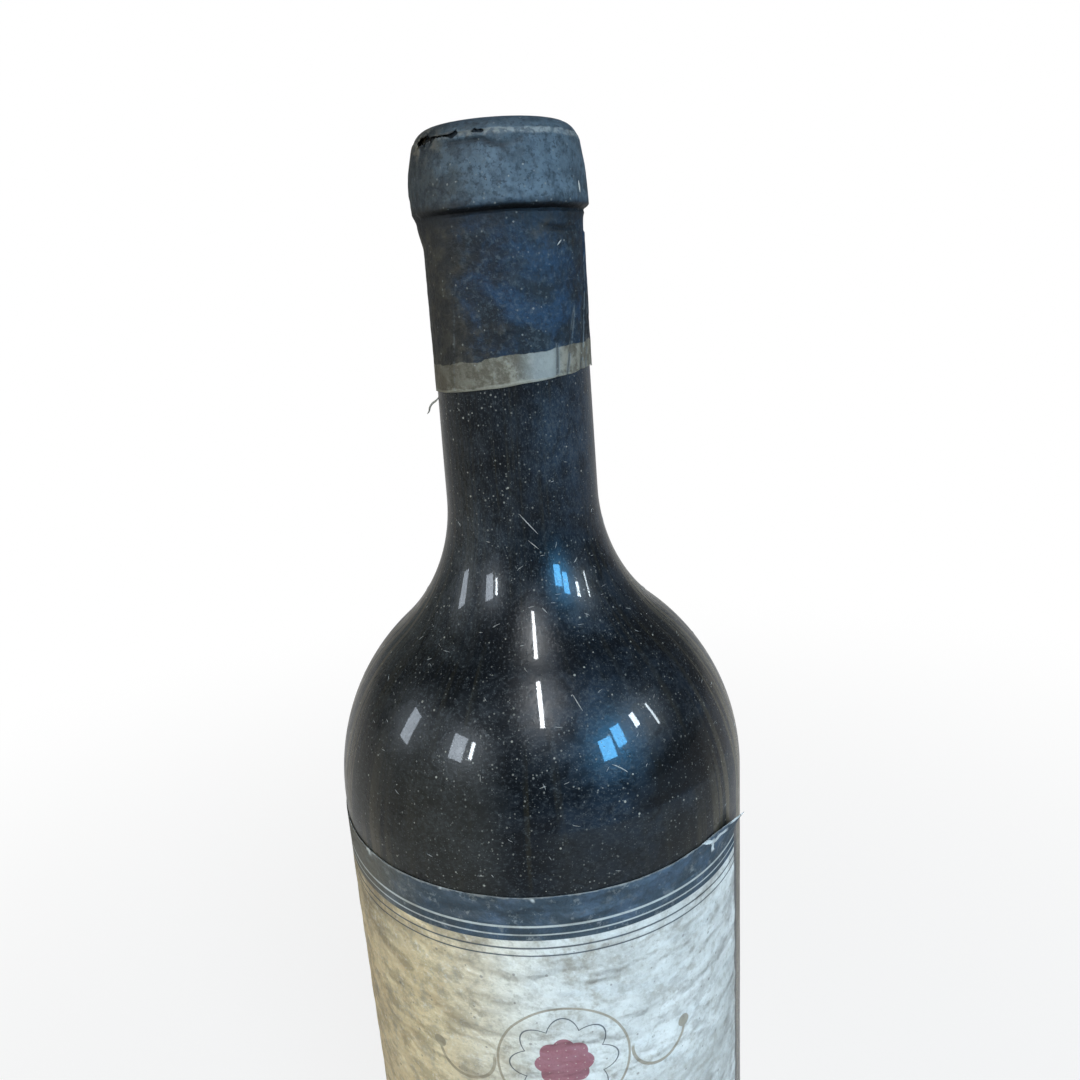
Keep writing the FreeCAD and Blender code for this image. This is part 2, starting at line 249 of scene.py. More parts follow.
def white_sheet():
    """Matt white that also glows for the eye, a little less so near the bottle, for the shadow."""
    white = Recipe("floor_white")
    plain = white.node("BsdfDiffuse", Color=(0.9, 0.9, 0.9, 1))
    glow = white.node("Emission", Color=(1, 1, 1, 1), Strength=1.0)
    rays = white.tree.nodes.new("ShaderNodeLightPath").outputs
    seen = white.sum("ADD", rays["Is Camera Ray"], white.times(rays["Is Glossy Ray"], 0.6), clamp=True)
    seen = white.sum("ADD", seen, rays["Is Transmission Ray"], clamp=True)
    away = white.node("VectorMath", Vector=white.place)
    away.operation = "LENGTH"
    share = white.ramp(away.outputs["Value"], NEAR_SHADOW, FAR_WHITE, NEAR_GLOW, 1.0)
    both = white.node("MixShader", Fac=white.times(seen, share))
    white.tree.links.new(plain.outputs[0], both.inputs[1])
    white.tree.links.new(glow.outputs[0], both.inputs[2])
    return white.finish(both.outputs[0])


steps = range(-12, 13)
floor_rows = [[(x * FLOOR_STEP, y * FLOOR_STEP, FLOOR_DROP) for x in steps] for y in steps]
floor = skin("floor", floor_rows, False)
floor.data.materials.append(white_sheet())

# %% [markdown]
# ## Light
# The light is that of a plain room by day: a large cool softbox in front, a weaker warm one
# at the left, and a dim surround. Dark glass shows little of its own, so what makes it look
# like glass is what it mirrors: one narrow tube overhead, a small blue window with two white
# glints beside it at the right, and three dull panes at the left.


# %% Lamps
def lamp(name, at, towards, wide, tall, watts, colour, mirrored):
    """A rectangular lamp. A mirrored one only shows in gloss, the others only light."""
    light = bpy.data.lights.new(name, "AREA")
    light.shape = "RECTANGLE"
    light.size, light.size_y = wide, tall
    light.energy = watts
    light.color = colour
    holder = bpy.data.objects.new(name, light)
    holder.location = at
    holder.rotation_euler = (Vector(towards) - Vector(at)).to_track_quat("-Z", "Y").to_euler()
    holder.visible_glossy = mirrored
    holder.visible_diffuse = not mirrored
    bpy.context.collection.objects.link(holder)


WINDOW_BLUE, GLINT_WHITE, DULL_GREY = (0.13, 0.52, 1.0), (0.80, 0.93, 1.0), (0.78, 0.88, 1.0)
shoulder = (0, 0, 0.21)
lamp("cool_softbox", (0.25, -0.85, 0.70), shoulder, 0.5, 0.5, 8.4, (0.80, 0.96, 1.08), False)
lamp("warm_softbox", (-0.80, -0.30, 0.30), shoulder, 0.4, 0.5, 1.4, (1.0, 0.82, 0.48), False)
lamp("tube", (0.016, -0.500, 0.865), shoulder, 0.034, 0.36, 11.0, (0.93, 0.97, 1.0), True)
lamp("window_left_pane", (0.470, -0.590, 0.512), shoulder, 0.112, 0.150, 8.5, WINDOW_BLUE, True)
lamp("window_right_pane", (0.560, -0.505, 0.560), shoulder, 0.085, 0.150, 6.5, WINDOW_BLUE, True)
lamp("window_glint", (0.66, -0.35, 0.58), shoulder, 0.045, 0.10, 3.5, GLINT_WHITE, True)
lamp("window_slit", (0.74, -0.20, 0.52), shoulder, 0.020, 0.16, 1.6, GLINT_WHITE, True)
lamp("dull_pane", (-0.585, -0.475, 0.545), shoulder, 0.12, 0.17, 4.0, DULL_GREY, True)
lamp("dull_slit", (-0.50, -0.56, 0.56), shoulder, 0.03, 0.12, 3.0, (0.85, 0.93, 1.0), True)
lamp("far_pane", (-0.78, -0.05, 0.46), shoulder, 0.10, 0.20, 3.2, DULL_GREY, True)
print("lamps:", len(bpy.data.lights))


# %% Surround
def surround():
    """White behind the bottle and dim in front of it; the eye itself always sees white."""
    world = bpy.data.worlds.new("surround")
    world.use_nodes = True
    tree = world.node_tree
    tree.nodes.clear()
    end = tree.nodes.new("ShaderNodeOutputWorld")
    place = tree.nodes.new("ShaderNodeTexCoord")
    split = tree.nodes.new("ShaderNodeSeparateXYZ")
    tree.links.new(place.outputs["Generated"], split.inputs[0])
    level = tree.nodes.new("ShaderNodeMapRange")
    level.interpolation_type = "SMOOTHSTEP"
    tree.links.new(split.outputs["Y"], level.inputs["Value"])
    for name, value in (("From Min", -0.3), ("From Max", 0.9), ("To Min", 0.14), ("To Max", 0.31)):
        level.inputs[name].default_value = value
    dim = tree.nodes.new("ShaderNodeBackground")
    dim.inputs["Color"].default_value = (0.86, 0.94, 1.0, 1)
    tree.links.new(level.outputs[0], dim.inputs["Strength"])
    white = tree.nodes.new("ShaderNodeBackground")
    white.inputs["Color"].default_value = (1, 1, 1, 1)
    rays = tree.nodes.new("ShaderNodeLightPath")
    both = tree.nodes.new("ShaderNodeMixShader")
    tree.links.new(rays.outputs["Is Camera Ray"], both.inputs[0])
    tree.links.new(dim.outputs[0], both.inputs[1])
    tree.links.new(white.outputs[0], both.inputs[2])
    tree.links.new(both.outputs[0], end.inputs[0])
    return world


bpy.context.scene.world = surround()
bpy.context.scene.view_settings.view_transform = "Standard"
print("surround:", bpy.context.scene.world.name)

# %% [markdown]
# ## Glass bottle
# A bottle is blown into a mould, so it is round, but its wall wavers a little and mirrored
# light bends on it. It could be turned with a Screw modifier. Rows of points are laid out
# here one by one instead, from foot to mouth, so that each point can be moved in by a hair.


# %% Outline of the bottle
def bow(centre, radius, first, last, count):
    """Points of an arc, from one angle to another, without the last one."""
    turns = [math.radians(first + (last - first) * i / count) for i in range(count)]
    return [(centre[0] + radius * math.cos(t), centre[1] + radius * math.sin(t)) for t in turns]


def run(start, end, count):
    """Points of a straight line, without the last one."""
    return [
        (start[0] + (end[0] - start[0]) * i / count, start[1] + (end[1] - start[1]) * i / count)
        for i in range(count)
    ]


# all in mm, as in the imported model; the tapers are angles
WALL, WALL_TOP, HEEL = 38.0, 187.4, 5.0
SHOULDER, SWEEP = 39.3, 32.0
NECK, NECK_TOP, NECK_TAPER = 12.85, 287.4, math.radians(0.85)
RING, RING_LOW, RING_TAPER = 13.9, 288.3, math.radians(3.5)
LIP, MOUTH, PUNT, PUNT_DEEP = 2.8, 300.0, 23.0, 12.0


def neck_sweep():
    """Centre of the hollow curve that touches the neck's cone and the round shoulder."""
    down = (math.sin(NECK_TAPER), -math.cos(NECK_TAPER))
    side = (math.cos(NECK_TAPER), math.sin(NECK_TAPER))
    start = (NECK + SWEEP * side[0] - (WALL - SHOULDER), NECK_TOP + SWEEP * side[1] - WALL_TOP)
    along = start[0] * down[0] + start[1] * down[1]
    apart = start[0] ** 2 + start[1] ** 2 - (SHOULDER + SWEEP) ** 2
    step = -along - math.sqrt(along**2 - apart)
    return (start[0] + step * down[0] + WALL - SHOULDER, start[1] + step * down[1] + WALL_TOP)


def lip_middle():
    """Centre of the small arc that rounds the lip."""
    return RING - (MOUTH - LIP - RING_LOW) * math.tan(RING_TAPER) - LIP / math.cos(RING_TAPER), MOUTH - LIP


def bottle_outline():
    """Reach and height from the middle of the foot, up the outside, to the middle of the mouth."""
    shoulder_at = (WALL - SHOULDER, WALL_TOP)
    sweep_at = neck_sweep()
    tilt = math.degrees(math.atan2(sweep_at[1] - shoulder_at[1], sweep_at[0] - shoulder_at[0]))
    punt_round = (PUNT**2 + PUNT_DEEP**2) / (2 * PUNT_DEEP)
    punt_edge = math.degrees(math.asin(PUNT / punt_round))
    lip_at = lip_middle()
    taper = math.degrees(RING_TAPER)
    path = bow((0, PUNT_DEEP - punt_round), punt_round, 89.5, 90 - punt_edge, 18)
    path += run((PUNT, 0), (WALL - HEEL, 0), 6)
    path += bow((WALL - HEEL, HEEL), HEEL, -90, 0, 10)
    path += run((WALL, HEEL), (WALL, WALL_TOP), 60)
    path += bow(shoulder_at, SHOULDER, 0, tilt, 54)
    path += bow(sweep_at, SWEEP, tilt + 180, 180 + math.degrees(NECK_TAPER), 34)
    neck_low = sweep_at[1] + SWEEP * math.sin(math.radians(180 + math.degrees(NECK_TAPER)))
    low_reach = sweep_at[0] - SWEEP * math.cos(NECK_TAPER)
    path += run((low_reach, neck_low), (NECK, NECK_TOP), 34)
    path += run((NECK, NECK_TOP), (RING, RING_LOW), 2)
    path += run((RING, RING_LOW), (lip_at[0] + LIP * math.cos(RING_TAPER), lip_at[1]), 6)
    path += bow(lip_at, LIP, taper, 90, 8)
    path += run((lip_at[0], MOUTH), (0.05, MOUTH), 8)
    return path


outline = bottle_outline()
print("the outline has", len(outline), "points, widest", max(reach for reach, _ in outline), "mm")


# %% Ways to go round the bottle
def around(count, first=0.0, last=360.0, closed=True):
    """Bearings in radians. 0 faces the front, and they grow towards +X."""
    share = count if closed else count - 1
    return [math.radians(first + (last - first) * i / share) for i in range(count)]


def spot(bearing, reach, height):
    """A point in mm, from its bearing, its distance from the axis, and its height."""
    return (reach * math.sin(bearing), -reach * math.cos(bearing), height)


def waver(bearing, height, size, seed, tall=1.0):
    """A smooth unevenness between about -1 and 1, with bumps about size mm wide."""
    at = Vector((WALL * math.sin(bearing) / size, -WALL * math.cos(bearing) / size, height / (size * tall)))
    return noise.noise(at + Vector((seed, seed * 0.37, 0)))


def eased(share):
    """0 up to 0, 1 from 1 on, and a smooth step between."""
    share = min(max(share, 0.0), 1.0)
    return share * share * (3 - 2 * share)


WORN_DEEP, WORN_FROM, WORN_TALL = 0.60, 293.5, 6.0


def worn_shoulder(height, spared=0.0):
    """How far the foil's top corner is pressed in, in mm. The glass below is rounded to match."""
    return WORN_DEEP * eased((height - WORN_FROM) / WORN_TALL) * (1 - spared)


print("four bearings round the bottle:", [round(math.degrees(b)) for b in around(4)])

# %% Turn the bottle
GLASS_COLUMNS = 224


def bottle_rows():
    """Rows of points from foot to mouth, each a hair inside the true circle."""
    rows = []
    for reach, height in outline:
        pressed = worn_shoulder(height + 1.0) if reach > 5 else 0.0
        row = []
        for b in around(GLASS_COLUMNS):
            uneven = 0.05 * (1 + waver(b, height, 22, 3.1)) * min(reach / 10, 1)
            row.append(spot(b, max(reach - pressed - uneven, 0.02), height))
        rows.append(row)
    return rows


bottle = skin("bottle_glass", bottle_rows(), True)

# %% Where each point would lie on a plain tube
travelled = [0.0]
for before, after in zip(outline, outline[1:]):
    travelled.append(travelled[-1] + math.dist(before, after))
tube_places = []
for way in travelled:
    tube_places += [(WALL * math.sin(b), -WALL * math.cos(b), way) for b in around(GLASS_COLUMNS)]
remember(bottle, "wrap", tube_places)
print("from foot to mouth the outline is", round(travelled[-1], 1), "mm long")
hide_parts("bottle")
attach(bottle, "root")

# %% [markdown]
# ## Dusty dark glass
# The glass is so dark, and the wine behind it too, that hardly any light comes back out of
# it, so it needs no see-through shader: it is a black surface under a clear coat. The coat
# stays sharp, and the rough layer under it gives each lamp a soft halo, as dust does. Brown
# tide marks run down it, a thin haze lies in drifts, and pale grains are scattered over it.
# Light is painted into its colour too: blue window light on the haze, warm reflections in
# the brown runs down both sides, a brown sheen where the glass turns edge-on, warm light with
# the olive dust on the left of the shoulder, and a dark reflection on its right.
# The streaks read the place on a plain tube, so that they run on round the shoulder.

# %% Noises of the glass
glass = Recipe("dusty_dark_glass")
wrap = glass.recall("wrap")
x, _, z = glass.split(glass.place)
drift = glass.cloud(34, 5, 0.62)
fine_place = glass.stretch((1.3, 1.3, 1.9), wrap, turned=(0.0, 0.5, 0.0))
fine = glass.cloud(1, 4, 0.70, place=fine_place, bend=0.3)
tide = glass.cloud(1, 4, 0.62, place=glass.stretch((0.50, 0.50, 0.022), wrap))
runs = glass.cloud(1, 3, 0.62, place=glass.stretch((0.42, 0.42, 0.010), wrap))
wiped_place = glass.stretch((0.22, 0.22, 0.34), wrap, turned=(0.5, 0.7, 0.3))
wiped = glass.cloud(1, 5, 0.66, place=wiped_place, bend=0.6)
grains = glass.specks(2600, 0.38)
crumbs = glass.specks(1300, 0.27)
motes = glass.specks(480, 0.115)
glass.report("the noises")

# %% Tide marks, haze and fine dust
BLACK_GLASS, TIDE_BROWN = (0.0030, 0.0042, 0.0060), (0.018, 0.0165, 0.011)
GREY_HAZE, WINDOW_LIT_HAZE, FINE_DUST = (0.024, 0.0255, 0.0245), (0.017, 0.036, 0.066), (0.058, 0.069, 0.077)
glass_colour = glass.mix(glass.ramp(tide, 0.50, 0.72), BLACK_GLASS, TIDE_BROWN)
# painted window light: the haze is bluer towards the window's side
haze = glass.times(glass.ramp(drift, 0.34, 0.66), glass.ramp(wiped, 0.30, 0.66, 0.25, 1.0))
haze_and_window_light = glass.mix(glass.ramp(x, -0.022, 0.012), GREY_HAZE, WINDOW_LIT_HAZE)
glass_colour = glass.lay(haze_and_window_light, glass_colour, haze, 0.85)
dusting = glass.ramp(glass.sum("ADD", fine, glass.times(haze, 0.14)), 0.50, 0.80)
glass_colour = glass.lay(FINE_DUST, glass_colour, dusting, 0.72)
glass.report("the haze")

# %% Brown runs and painted warm reflections, olive dust and painted warm light, and a painted dark reflection near the label
RUN_AND_REFLECTION_BROWN, OLIVE_DUST_AND_WARM_LIGHT = (0.062, 0.055, 0.038), (0.031, 0.029, 0.023)
LOW_DUST, PAINTED_DARK_REFLECTION = (0.027, 0.028, 0.027), (0.0035, 0.0045, 0.0055)
# the runs lie on both sides of the shoulder and on the neck's left, where their brown is also a painted
# warm reflection
rim_reflection_sides = glass.times(glass.ramp(glass.sum("ABSOLUTE", x), 0.021, 0.034), glass.ramp(z, 0.120, 0.196))
neck_left = glass.times(glass.ramp(x, -0.0045, -0.0095), glass.ramp(x, -0.0220, -0.0150))
neck_left = glass.times(neck_left, glass.ramp(z, 0.214, 0.228), 0.30)
brown = glass.times(glass.sum("MAXIMUM", rim_reflection_sides, neck_left), glass.ramp(runs, 0.46, 0.60))
glass_colour = glass.lay(RUN_AND_REFLECTION_BROWN, glass_colour, brown, glass.ramp(drift, 0.36, 0.60, 0.25, 0.75))
# olive dust on the left of the shoulder, where its colour is also painted warm light
olive = glass.times(glass.ramp(x, -0.0035, -0.0110), glass.ramp(z, 0.214, 0.200))
glass_colour = glass.lay(OLIVE_DUST_AND_WARM_LIGHT, glass_colour, olive, glass.ramp(drift, 0.36, 0.54, 0.10, 0.45))
low = glass.times(glass.ramp(z, 0.1958, 0.1950), glass.ramp(x, -0.004, 0.004))
glass_colour = glass.lay(LOW_DUST, glass_colour, low, 0.40)
# painted dark reflection: bare black glass on the right of the shoulder, above the label
dark_reflection_patch = glass.times(glass.ramp(x, 0.010, 0.020), glass.ramp(x, 0.0335, 0.0270))
dark_reflection_patch = glass.times(dark_reflection_patch, glass.ramp(z, 0.2060, 0.2020), glass.ramp(z, 0.1950, 0.1962))
glass_colour = glass.lay(PAINTED_DARK_REFLECTION, glass_colour, dark_reflection_patch, 0.80)
glass.report("the runs")

# %% Grains, and a painted brown sheen where the glass is seen edge-on
dense = glass.ramp(glass.cloud(75, 3, 0.6), 0.34, 0.66, 0.35, 1.0)
glass_colour = glass.lay((0.13, 0.145, 0.150), glass_colour, grains, dense, 0.45)
glass_colour = glass.lay((0.24, 0.245, 0.225), glass_colour, crumbs, dense, 0.75)
glass_colour = glass.lay((0.40, 0.40, 0.36), glass_colour, motes, 0.85)
# painted sheen and reflection: brown along the runs where the glass turns edge-on, weaker up the neck
edge_on = glass.tree.nodes.new("ShaderNodeLayerWeight")
edge_on.inputs["Blend"].default_value = 0.30
turned_away = glass.ramp(edge_on.outputs["Facing"], 0.26, 0.72)
runs_and_edge_sheen = glass.times(turned_away, glass.ramp(runs, 0.45, 0.56), glass.ramp(z, 0.234, 0.222, 0.25, 1.0))
glass_colour = glass.lay((0.150, 0.127, 0.082), glass_colour, runs_and_edge_sheen, 0.92)
glass.report("the grains")

# %% Gloss of the glass
glass_normal = glass.bump(dusting, 0.10, 0.0003)
glass_normal = glass.bump(glass.sum("ADD", crumbs, motes), 0.25, 0.0002, before=glass_normal)
glass_rough = glass.ramp(haze, 0.0, 1.0, 0.26, 0.40)
glass_shader = glass.node("BsdfPrincipled", Base_Color=glass_colour, Roughness=glass_rough)
glass.feed(glass_shader.inputs["Normal"], glass_normal)
glass_shader.inputs["IOR"].default_value = 1.45
glass_shader.inputs["Specular IOR Level"].default_value = 0.09
glass_shader.inputs["Coat Weight"].default_value = 0.11
glass_shader.inputs["Coat Roughness"].default_value = 0.035
bottle.data.materials.append(glass.finish(glass_shader.outputs[0]))
glass.report("the gloss")

# %% [markdown]
# ## Capsule skirt
# The foil was spun tight over the mouth by a machine. It clings to the neck, bulges over the
# ring of glass, and makes a deep crease below it. With age it has dents and wrinkles, it
# overlaps itself down the neck's right side, and its lower edge runs askew. A grid of
# points follows the turned shape, and each point then gets its own dents. A Solidify
# modifier gives the sheet its thickness.

# %% Sizes of the foil
FOIL, SNUG = 0.3, 0.05  # the foil's thickness and the gap between glass and foil
HEM, HEM_SLOPE, HEM_REACH = 261.1, 0.0893, 13.6  # height in front, rise per mm to the right, reach


def hem_height(bearing):
    """The skirt's lower edge: askew, a little ragged, with a step where the foil overlaps."""
    degrees = math.degrees(bearing)
    level = HEM + HEM_SLOPE * HEM_REACH * math.sin(bearing)
    level += 0.10 * waver(bearing, 0, 9, 7.7)
    if 48 < degrees < 80:
        level += 0.55 * (degrees - 48) / 32
    return level


print("the skirt's lower edge in front:", round(hem_height(0), 2), "mm up")
print("and at the right:", round(hem_height(math.pi / 2), 2), "mm up")


# %% Nearness to lines and bearings
def soft_line(distance, width):
    """1 on a line and falling smoothly to 0 at its width."""
    share = min(abs(distance) / width, 1.0)
    return (1 - share * share) ** 2


def turned_degrees(bearing, towards):
    """How many degrees lie between two bearings, the short way round, with a sign."""
    return (math.degrees(bearing) - towards + 180) % 360 - 180


def towards_left(bearing):
    """1 at the capsule's left, where its foil bulges, and 0 from 75 degrees away on."""
    return soft_line(turned_degrees(bearing, -95), 75)


print("a quarter turn to the left counts as", round(towards_left(math.radians(270)), 2))


# %% Shape of the foil before its dents
def foil_outline():
    """Reach and height from the lip's shoulder down past the crease to the neck, top first."""
    lip_at = lip_middle()
    lip = LIP + SNUG + FOIL
    bulge = 1.6
    crease = 2.2
    bulge_at = (RING + SNUG + FOIL - bulge, RING_LOW - 0.2)
    crease_reach = NECK + SNUG + FOIL + crease
    apart = crease_reach - bulge_at[0]
    crease_at = (crease_reach, bulge_at[1] - math.sqrt((bulge + crease) ** 2 - apart**2))
    tilt = math.degrees(math.atan2(bulge_at[1] - crease_at[1], bulge_at[0] - crease_at[0]))
    path = bow(lip_at, lip, 21.5, math.degrees(RING_TAPER), 14)
    path += run((lip_at[0] + lip * math.cos(RING_TAPER), lip_at[1]), (bulge_at[0] + bulge, bulge_at[1]), 26)
    path += bow(bulge_at, bulge, 0, tilt - 180, 16)
    path += bow(crease_at, crease, tilt, 180, 18)
    path += [(crease_at[0] - crease, crease_at[1])]
    return path


foil_path = foil_outline()
print("the foil's outline starts at", [round(v, 2) for v in foil_path[0]])
print("and its crease ends at", [round(v, 2) for v in foil_path[-1]])


# %% Dents, wrinkles and the overlap
SKIRT_BELOW = 284  # the plain tube of the skirt lies below this height
# each lap: its bearing at height 270, its lean in degrees per mm, its strength, and its top
LAPS = (
    (50, 1.2, 0.8, 274),
    (64, 1.0, 1.0, 284),
    (72, 1.3, 0.7, 280),
    (34.5, 0.35, 0.9, 269),
    (-42, 0.5, 0.4, 276),
)


def foil_marks(bearing, height):
    """How near a spot is to the ring's crease, to a dent or wrinkle, and to a lap: 1 is on it."""
    crease = 287.35 + 0.14 * waver(bearing, 0, 12, 2.2) + 0.18 * soft_line(turned_degrees(bearing, 8), 10)
    pinch = 1 + 0.4 * soft_line(turned_degrees(bearing, 8), 9)
    ring_crease = min(pinch * soft_line(height - crease, 0.72), 1.25)
    at_right = turned_degrees(bearing, 44)
    sag = 284.15 + 1.7 * (at_right / 26) ** 2
    wrinkle = soft_line(height - sag, 0.55) * soft_line(at_right, 30)
    line = 297.0 - 0.8 * soft_line(turned_degrees(bearing, 2), 13) + 0.15 * waver(bearing, 0, 5, 3.9)
    dent = soft_line(height - line, 0.65) * soft_line(turned_degrees(bearing, -14), 42)
    lap = 0.0
    if height < SKIRT_BELOW:
        for start, lean_by, strength, top in LAPS:
            fade = min(max((top - height) / 3, 0), 1)
            apart = turned_degrees(bearing, start + lean_by * (height - 270))
            lap = max(lap, strength * fade * soft_line(apart, 3.0))
    return ring_crease, max(wrinkle, dent), lap


def foil_dents(bearing, height):
    """How far the foil stands proud of its turned shape, in mm; dents are negative."""
    off = 0.11 * waver(bearing, height, 7, 1.3) + 0.06 * waver(bearing, height, 2.6, 5.9)
    off += 0.03 * waver(bearing, height, 1.1, 2.8)
    off += 0.05 * waver(bearing, height, 4.2, 8.4, tall=4)
    ring_crease, dent, lap = foil_marks(bearing, height)
    at_left = towards_left(bearing)
    off -= 0.42 * ring_crease * (1 - 0.8 * at_left) + 0.50 * dent + 0.16 * lap
    if height < SKIRT_BELOW:
        side = turned_degrees(bearing, 64 + 1.0 * (height - 270))
        off += 0.20 * min(max(side / 3, 0), 1) * soft_line(side, 60)
    # the ring's foil bellies out at the left, and slopes in to the neck there without a crease
    belly = 0.64 * soft_line(height - 292.8, 7.0) * at_left + 0.12 * soft_line(height - 290.5, 5.0)
    corner = (0.50 * soft_line(height - 287.6, 1.9) + 0.20 * soft_line(height - 289.3, 1.6)) * at_left
    slope = 0.70 * soft_line(height - 286.4, 4.2) * at_left
    return min(off, 0.18) + belly + slope - corner - worn_shoulder(height, 0.6 * at_left)


def foil_point(bearing, reach, height):
    """A point of the foil, from its place on the outline, with its tuck and dents."""
    hug = 0.14 * min(max((SKIRT_BELOW - height) / 16, 0), 1)  # the skirt hugs the glass towards its edge
    if height > SKIRT_BELOW:
        # below the bulge the foil goes straight in to the neck, which leaves one sharp crease
        tucked = (reach - NECK - SNUG - FOIL) * eased((287.75 - height) / 0.65)
        at_right = soft_line(turned_degrees(bearing, 92), 55)
        hug += tucked * (1 - towards_left(bearing)) * (1 - 0.6 * at_right)
    return spot(bearing, reach - hug + foil_dents(bearing, height), height)


print("below the seam the foil is pushed in by", round(-foil_dents(math.radians(346), 297), 2), "mm")

# %% The torn seam at the top
# each tear: its bearing and half its width in degrees, and how far it goes down and up in mm
TEARS = (
    (-58, 9, 0.92, 0.65),
    (-49, 6, 0.50, 0.15),
    (-38, 15, 0.34, 0.10),
    (-29, 4, 0.46, 0.35),
    (-12, 6, 0.34, 0.30),
)
FOIL_COLUMNS, SKIRT_STEPS, EDGE_STEPS = 288, 64, 14


def torn(bearing):
    """How far the skirt's top edge is torn down and the lid's edge up, in mm."""
    down = 0.03 + 0.03 * waver(bearing, 0, 1.6, 6.6)
    upwards = 0.0
    for towards, wide, low, high in TEARS:
        share = min(1.7 * soft_line(turned_degrees(bearing, towards), wide), 1.0)
        down += low * share * (1 + 0.9 * waver(bearing, 3, 0.8, 9.1))
        upwards += high * share * (1 + 0.9 * waver(bearing, 5, 0.9, 2.9))
    return down, upwards


print("the seam gapes by", round(sum(torn(math.radians(302))), 2), "mm more where it is torn most")


# %% Skirt
def skirt_rows():
    """The skirt's rows of points, and for each point its marks: crease, dent and lap."""
    lip_at = lip_middle()
    rows = [[] for _ in range(len(foil_path) + SKIRT_STEPS)]
    marks = [[] for _ in rows]
    for b in around(FOIL_COLUMNS):
        down, _ = torn(b)
        for i, (reach, height) in enumerate(foil_path):
            # the first rows slide down so that the edge follows the tear
            at = height - down * max(1 - i / EDGE_STEPS, 0)
            if at > lip_at[1]:
                reach = lip_at[0] + math.sqrt(max((LIP + SNUG + FOIL) ** 2 - (at - lip_at[1]) ** 2, 0))
            rows[i].append(foil_point(b, reach, at))
            marks[i].append(foil_marks(b, at))
        reach, height = foil_path[-1]
        hem = hem_height(b)
        for i in range(SKIRT_STEPS):
            at = height + (hem - height) * (i + 1) / SKIRT_STEPS
            wider = reach + (height - at) * math.tan(NECK_TAPER)
            rows[len(foil_path) + i].append(foil_point(b, wider, at))
            marks[len(foil_path) + i].append(foil_marks(b, at))
    return rows, [mark for row in marks for mark in row]


foil_rows, foil_marks_kept = skirt_rows()
skirt = skin("capsule_foil_skirt", foil_rows, True)
remember(skirt, "marks", foil_marks_kept)
shell = skirt.modifiers.new("thickness", "SOLIDIFY")
shell.thickness = 0.15 * MM
shell.offset = -1.0
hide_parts("capsule_skirt")
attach(skirt, "root")

# %% [markdown]
# ## Capsule lid
# A separate disc of the same foil closes the top. It is bent down over the lip to the seam,
# where it is worn pale, and it has torn away from the skirt along the left of the seam.


# %% Lid
LID_FOIL = 0.4
SEAM_DROP, SEAM_GAP = 2.0, 0.15  # how far the seam lies below the mouth, and how wide it gapes
BEND_STEPS, TOP_STEPS = 14, 20


def lid_rows():
    """The lid's rows of points, from its torn edge up over the bend and in to the middle."""
    lip_at = lip_middle()
    lip = LIP + SNUG + LID_FOIL
    bearings = around(FOIL_COLUMNS)
    rows = []
    for i in range(BEND_STEPS + 1):
        row = []
        for b in bearings:
            _, upwards = torn(b)
            low = math.asin(min((LIP - SEAM_DROP + SEAM_GAP + upwards) / (LIP + SNUG), 0.95))
            angle = low + (math.pi / 2 - low) * i / BEND_STEPS
            reach = lip_at[0] + lip * math.cos(angle)
            height = lip_at[1] + lip * math.sin(angle)
            reach -= 0.05 * (1 + waver(b, height, 2.5, 3.3)) + worn_shoulder(height, 0.6 * towards_left(b))
            row.append(spot(b, reach, height - 0.04))
        rows.append(row)
    flat_top = lip_at[1] + lip - 0.16
    for i in range(1, TOP_STEPS + 1):
        reach = (lip_at[0] - 0.6) * (1 - i / TOP_STEPS) + 0.03
        rows.append([spot(b, reach, flat_top - 0.12 * waver(b, reach, 6, 1.9)) for b in bearings])
    return rows


lid = skin("capsule_foil_lid", lid_rows(), True)
lid_shell = lid.modifiers.new("thickness", "SOLIDIFY")
lid_shell.thickness = 0.20 * MM
lid_shell.offset = -1.0
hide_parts("capsule_disc")
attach(lid, "root")

# %% [markdown]
# ## Painted foil
# The foil is painted a dull blue grey. The paint is mottled, rubbed lighter on the ring,
# browned on one side by grime and by painted warm light, and chipped in pale grains. Its
# crease, dents and the hollow under the ring's bulge are darkened with painted shade. A band
# without blue, the colour of old tin, goes round above the lower edge. Fields that depend on
# height read the object's own coordinates, so they stay where they are when the bottle is
# turned.

# %% Noises of the foil
foil = Recipe("painted_foil")
x, _, z = foil.split(foil.place)
crease, dent, laps = foil.split(foil.recall("marks"))
mottle = foil.cloud(430, 6, 0.68)
blots = foil.cloud(110, 5, 0.62, bend=0.8)
grime = foil.cloud(90, 6, 0.72)
brushed = foil.cloud(1, 5, 0.68, place=foil.stretch((520, 520, 300), turned=(0.6, 0.5, 0)))
grains = foil.specks(1300, 0.27)
chips = foil.specks(520, 0.105)
speckle = foil.cloud(1300, 5, 0.72)
foil.report("the noises")

